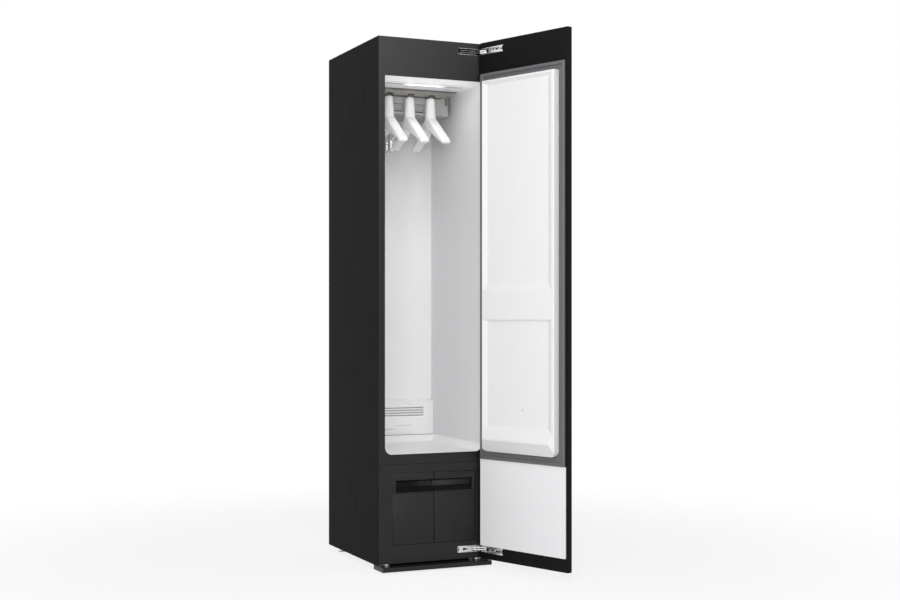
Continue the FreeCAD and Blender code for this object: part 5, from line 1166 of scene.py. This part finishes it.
@dataclass
class Hangers:
    """Three air-blown hangers and the trouser clips.

    Args:
        hook_rise: Height of the hook above the column.
        hook_sunk: How far the hook reaches down into the column.
        shoulder_drop: Height from the column's top to the shoulders.
        column_drop: Height from the column's top to its foot.
        column_foot: Radius and height above the foot of the outline's rounded lower end.
        column_waist: Radius at the shoulders.
        column_neck: Radius and height below the top of the outline's upper end.
        column_steps: Facets round the column.
        voxel: Facet size of the smooth skin.
        rounds: Rounds of smoothing.
        loop_wire: Radius of the wire of the small chrome loop.
        loop_reach: Half depth of the loop.
        loop_drop: Drop of the loop below the arch.
        loop_steps: Facets along the loop.
        wire_steps: Facets round its wire.
    """

    hook_rise: float = 9.4 * MM
    hook_sunk: float = 1.0 * MM
    shoulder_drop: float = 78.0 * MM
    column_drop: float = 126.0 * MM
    column_foot: tuple[tuple[float, float], ...] = (
        (0.0, 0.0), (12.0 * MM, 0.0), (17.5 * MM, 4.0 * MM), (20.5 * MM, 14.0 * MM))
    column_waist: float = 21.0 * MM
    column_neck: tuple[tuple[float, float], ...] = (
        (19.3 * MM, -44.0 * MM), (17.4 * MM, -14.0 * MM), (16.2 * MM, -3.0 * MM), (13.5 * MM, 0.0),
        (0.0, 0.0))
    column_steps: int = 40
    voxel: float = 1.5 * MM
    rounds: int = 7
    loop_wire: float = 1.3 * MM
    loop_reach: float = 11.0 * MM
    loop_drop: float = 11.0 * MM
    loop_steps: int = 20
    wire_steps: int = 10

    def column(self, bm: BMesh, centre: Vector, top: float) -> None:
        """Add the hanger's middle column, which widens downwards from its neck.

        Args:
            bm: The mesh to add to.
            centre: Middle of the hanger.
            top: Height of the neck's top.
        """
        foot = [(radius, rise - self.column_drop) for radius, rise in self.column_foot]
        profile = [*foot, (self.column_waist, -self.shoulder_drop), *self.column_neck]
        made = spun(bm, profile, self.column_steps)
        bmesh.ops.translate(bm, verts=made, vec=(centre.x, centre.y, top))

    def hanger(self, node: str) -> None:
        """Model one hanger: a smooth moulded shell and its dark grey hook, whose tone is partly painted
        shade.

        Args:
            node: The hanger's CAD node.
        """
        up = (0, 0, 1)
        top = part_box(node)[1].z - self.hook_rise
        shell = merged_copy(node)
        cut(shell, (0, 0, top - self.shoulder_drop), up, Keep.BELOW)
        self.column(shell, middle(node), top)
        finish_mesh(f"{node}_shell", remeshed(shell, self.voxel, self.rounds), Finishes.HANGER, node, (node,),
                    smooth=180.0)
        hook = merged_copy(node)
        cut(hook, (0, 0, top - self.hook_sunk), up, Keep.ABOVE)
        soften(hook, radius=0.7 * MM)
        finish_mesh(f"{node}_hook", hook, Finishes.HOOK_AND_SHADE, node)

    def chrome_loop(self, node: str) -> None:
        """Hang a small chrome loop under a hanger's arch.

        Args:
            node: The hanger's CAD node.
        """
        centre = middle(node)
        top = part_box(node)[1].z - self.hook_rise - self.column_drop
        bm = bmesh.new()
        ring = bmesh.ops.create_circle(bm, cap_ends=False, radius=self.loop_wire,
                                       segments=self.wire_steps)["verts"]
        bmesh.ops.transform(bm, matrix=Matrix.Translation((self.loop_reach, 0.0, 0.0)), verts=ring)
        edges = list({e for v in ring for e in v.link_edges})
        bmesh.ops.spin(bm, geom=ring + edges, cent=(0, 0, 0), axis=(0, 1, 0), angle=math.pi,
                       steps=self.loop_steps)
        squash = Matrix.Diagonal((1.0, 1.0, self.loop_drop / self.loop_reach, 1.0))
        quarter = Matrix.Rotation(math.radians(90.0), 4, "Z")
        turn = Matrix.Translation((centre.x, centre.y, top)) @ quarter @ squash
        bmesh.ops.transform(bm, matrix=turn, verts=bm.verts)
        bmesh.ops.holes_fill(bm, edges=[e for e in bm.edges if e.is_boundary], sides=0)
        finish_mesh(f"{node}_loop", bm, Finishes.CHROME, node)

    def build(self) -> None:
        """Dress the hangers and clips and add the loop."""
        for node in ("trouser_hanger", "middle_hanger", "right_hanger"):
            self.hanger(node)
        dress(Finishes.CHROME, "clip_bar", "clip_front_body", "clip_front_jaw", "clip_rear_body",
              "clip_rear_jaw")
        self.chrome_loop("right_hanger")


@dataclass
class Tanks:
    """The two water tanks with their black fronts."""

    def build(self) -> None:
        """Dress the tanks."""
        for body in ("tank_left", "tank_right"):
            softened(f"{body}_front", Finishes.FASCIA, body, radius=0.6 * MM)
        dress(Finishes.TANK, "tank_left_body", "tank_right_body")
        dress(Finishes.PUMP, "tank_left_lid", "tank_right_lid")


@dataclass
class Door:
    """The full-height door with its liner, gasket and lower panel.

    Args:
        rim_corner: Distance and height of the liner's corner on the hinge side.
        rim_cut: Depth of the slant that takes that corner off.
        rim_band: Distance from the hinge edge of a seam that keeps the faces beyond it flat.
    """

    rim_corner: tuple[float, float] = (32.0 * MM, 28.0 * MM)
    rim_cut: float = 7.0 * MM
    rim_band: float = 47.0 * MM

    def liner(self) -> None:
        """Model the liner with the corner of its hinge side slanted off."""
        bm = merged_copy("door_liner")
        along = DOOR_FACE.along()
        slant = (DOOR_FACE.outward() - along).normalized()
        start = DOOR_FACE.point(*self.rim_corner, 0.0) - slant * self.rim_cut
        cut(bm, start, slant, Keep.BOTH)
        cut(bm, DOOR_FACE.point(self.rim_band, 0.0, 0.0), along, Keep.BOTH)
        for vert in bm.verts:
            excess = (vert.co - start).dot(slant)
            if excess > 0.0:
                vert.co -= slant * excess
        finish_mesh("door_liner_skin", bm, Finishes.WHITE, "door", ("door_liner",), smooth=6.0)

    def build(self) -> None:
        """Dress the door."""
        dress(Finishes.BLACK, "door_frame")
        dress(Finishes.GLASS, "door_glass")
        self.liner()
        dress(Finishes.GASKET, "door_gasket")
        dress(Finishes.PANEL, "door_lower_panel")


@dataclass
class Hinges:
    """Upper and lower concealed hinges.

    Args:
        cup_inset: Distance of a rod's ends from the cup's ends.
        highlight_rod: Radius of the bright rods along the upper cup's edges, which stand in for the edges'
            highlights as painted highlights.
        window_start: Distance of the cover's window from the cup's left end.
        window_length: Length of the window's black plate, which is painted shade.
        window_half: Half height of the plate.
        window_proud: How far the plate stands out of the cover.
        window_root: How far the plate reaches into the cover.
        eye_reach: Length of the bright end of an arm.
        screw: Screws of the door plates.
        screw_distances: Places of the screws from the door's hinge edge.
        screw_twist: Turn from one screw's cross to the next, in degrees.
    """

    cup_inset: float = 3.0 * MM
    highlight_rod: float = 0.9 * MM
    window_start: float = 22.0 * MM
    window_length: float = 26.0 * MM
    window_half: float = 5.2 * MM
    window_proud: float = 0.4 * MM
    window_root: float = 1.0 * MM
    eye_reach: float = 26.0 * MM
    screw: ScrewHead = field(default_factory=lambda: ScrewHead(3.2 * MM, 1.4 * MM, 0.8 * MM))
    screw_distances: tuple[float, ...] = (74.0 * MM, 110.0 * MM)
    screw_twist: float = 31.0

    def cover_highlight_rods(self) -> None:
        """Lay two bright zinc rods along the upper cup's edges: painted highlights."""
        low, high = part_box("hinge_top_cup")
        left, right = low.x + self.cup_inset, high.x - self.cup_inset
        bm = bmesh.new()
        for level in (low.z + self.highlight_rod, high.z - self.highlight_rod):
            rod(bm, (left, low.y, level), (right, low.y, level), self.highlight_rod)
        finish_mesh("hinge_top_highlight_rods", bm, Finishes.ZINC, "cabinet")

    def window_shade_plate(self) -> None:
        """Fill the lower cover's triangular window with a black plate: painted shade in the window."""
        low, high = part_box("hinge_bottom_cup")
        start, centre, half = low.x + self.window_start, (high.z + low.z) / 2, self.window_half
        corners = ((start, centre - half), (start + self.window_length, centre), (start, centre + half))
        bm = bmesh.new()
        face = bm.faces.new([bm.verts.new((x, low.y - self.window_proud, z)) for x, z in corners])
        sunk = bmesh.ops.extrude_face_region(bm, geom=[face])["geom"]
        bmesh.ops.translate(bm, verts=[v for v in sunk if isinstance(v, bmesh.types.BMVert)],
                            vec=(0.0, self.window_proud + self.window_root, 0.0))
        rounded(bm, bm.edges[:], radius=0.25 * MM)
        finish_mesh("hinge_bottom_window_shade", bm, Finishes.BLACK, "cabinet")

    def arm(self, level: str, finish: Finish) -> None:
        """Model an arm in two finishes: its links in the cup and its bright end.

        Args:
            level: Which hinge.
            finish: Finish of the links.
        """
        node = f"hinge_{level}_arm"
        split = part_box(node)[1].x - self.eye_reach
        for part, wear, keep in (("links", finish, Keep.BELOW), ("eye", Finishes.ZINC, Keep.ABOVE)):
            bm = merged_copy(node)
            soften(bm, radius=0.4 * MM)
            cut(bm, (split, 0, 0), (1, 0, 0), keep)
            finish_mesh(f"{node}_{part}", bm, wear, "cabinet", (node,))

    def plate_screws(self, level: str) -> None:
        """Add the screws of a door plate.

        Args:
            level: Which hinge.
        """
        height = middle(f"hinge_{level}_bracket").z
        bm = bmesh.new()
        for number, distance in enumerate(self.screw_distances):
            self.screw.add(bm, tuple(DOOR_FACE.point(distance, 0.0, height)), tuple(DOOR_FACE.outward()),
                           self.screw_twist * number)
        finish_mesh(f"hinge_{level}_screws", bm, Finishes.DARK_ZINC, "door")

    def build(self) -> None:
        """Dress the hinges and add their small parts."""
        # The upper hinge's cup and arm links are dark zinc, the lower hinge's are bright zinc.
        for level, cover in (("top", Finishes.DARK_ZINC), ("bottom", Finishes.ZINC)):
            softened(f"hinge_{level}_cup", cover, "cabinet", radius=0.3 * MM)
            self.arm(level, cover)
            softened(f"hinge_{level}_bracket", Finishes.ZINC, "door", radius=0.35 * MM)
            dress(Finishes.ZINC, f"hinge_{level}_pin")
            self.plate_screws(level)
        self.cover_highlight_rods()
        self.window_shade_plate()


@dataclass
class Machine:
    """Heat pump, boiler, pump, blower and control box behind the sheets."""

    def build(self) -> None:
        """Dress the machine."""
        dress(Finishes.MACHINE, "compressor")
        dress(Finishes.FINS, "heat_exchanger")
        dress(Finishes.GALVANISED, "steam_generator", "control_box")
        dress(Finishes.PUMP, "water_pump", "blower_housing", "blower_rotor")


def main() -> None:
    """Build the studio and every sub-assembly in order."""
    logging.basicConfig(level=logging.INFO, format="%(name)s %(message)s")
    for part in (Studio(), Cladding(), Chamber(), Hangers(), Tanks(), Door(), Hinges(), Machine()):
        part.build()
        log.info("built %s", type(part).__name__)


if __name__ == "__main__":
    main()
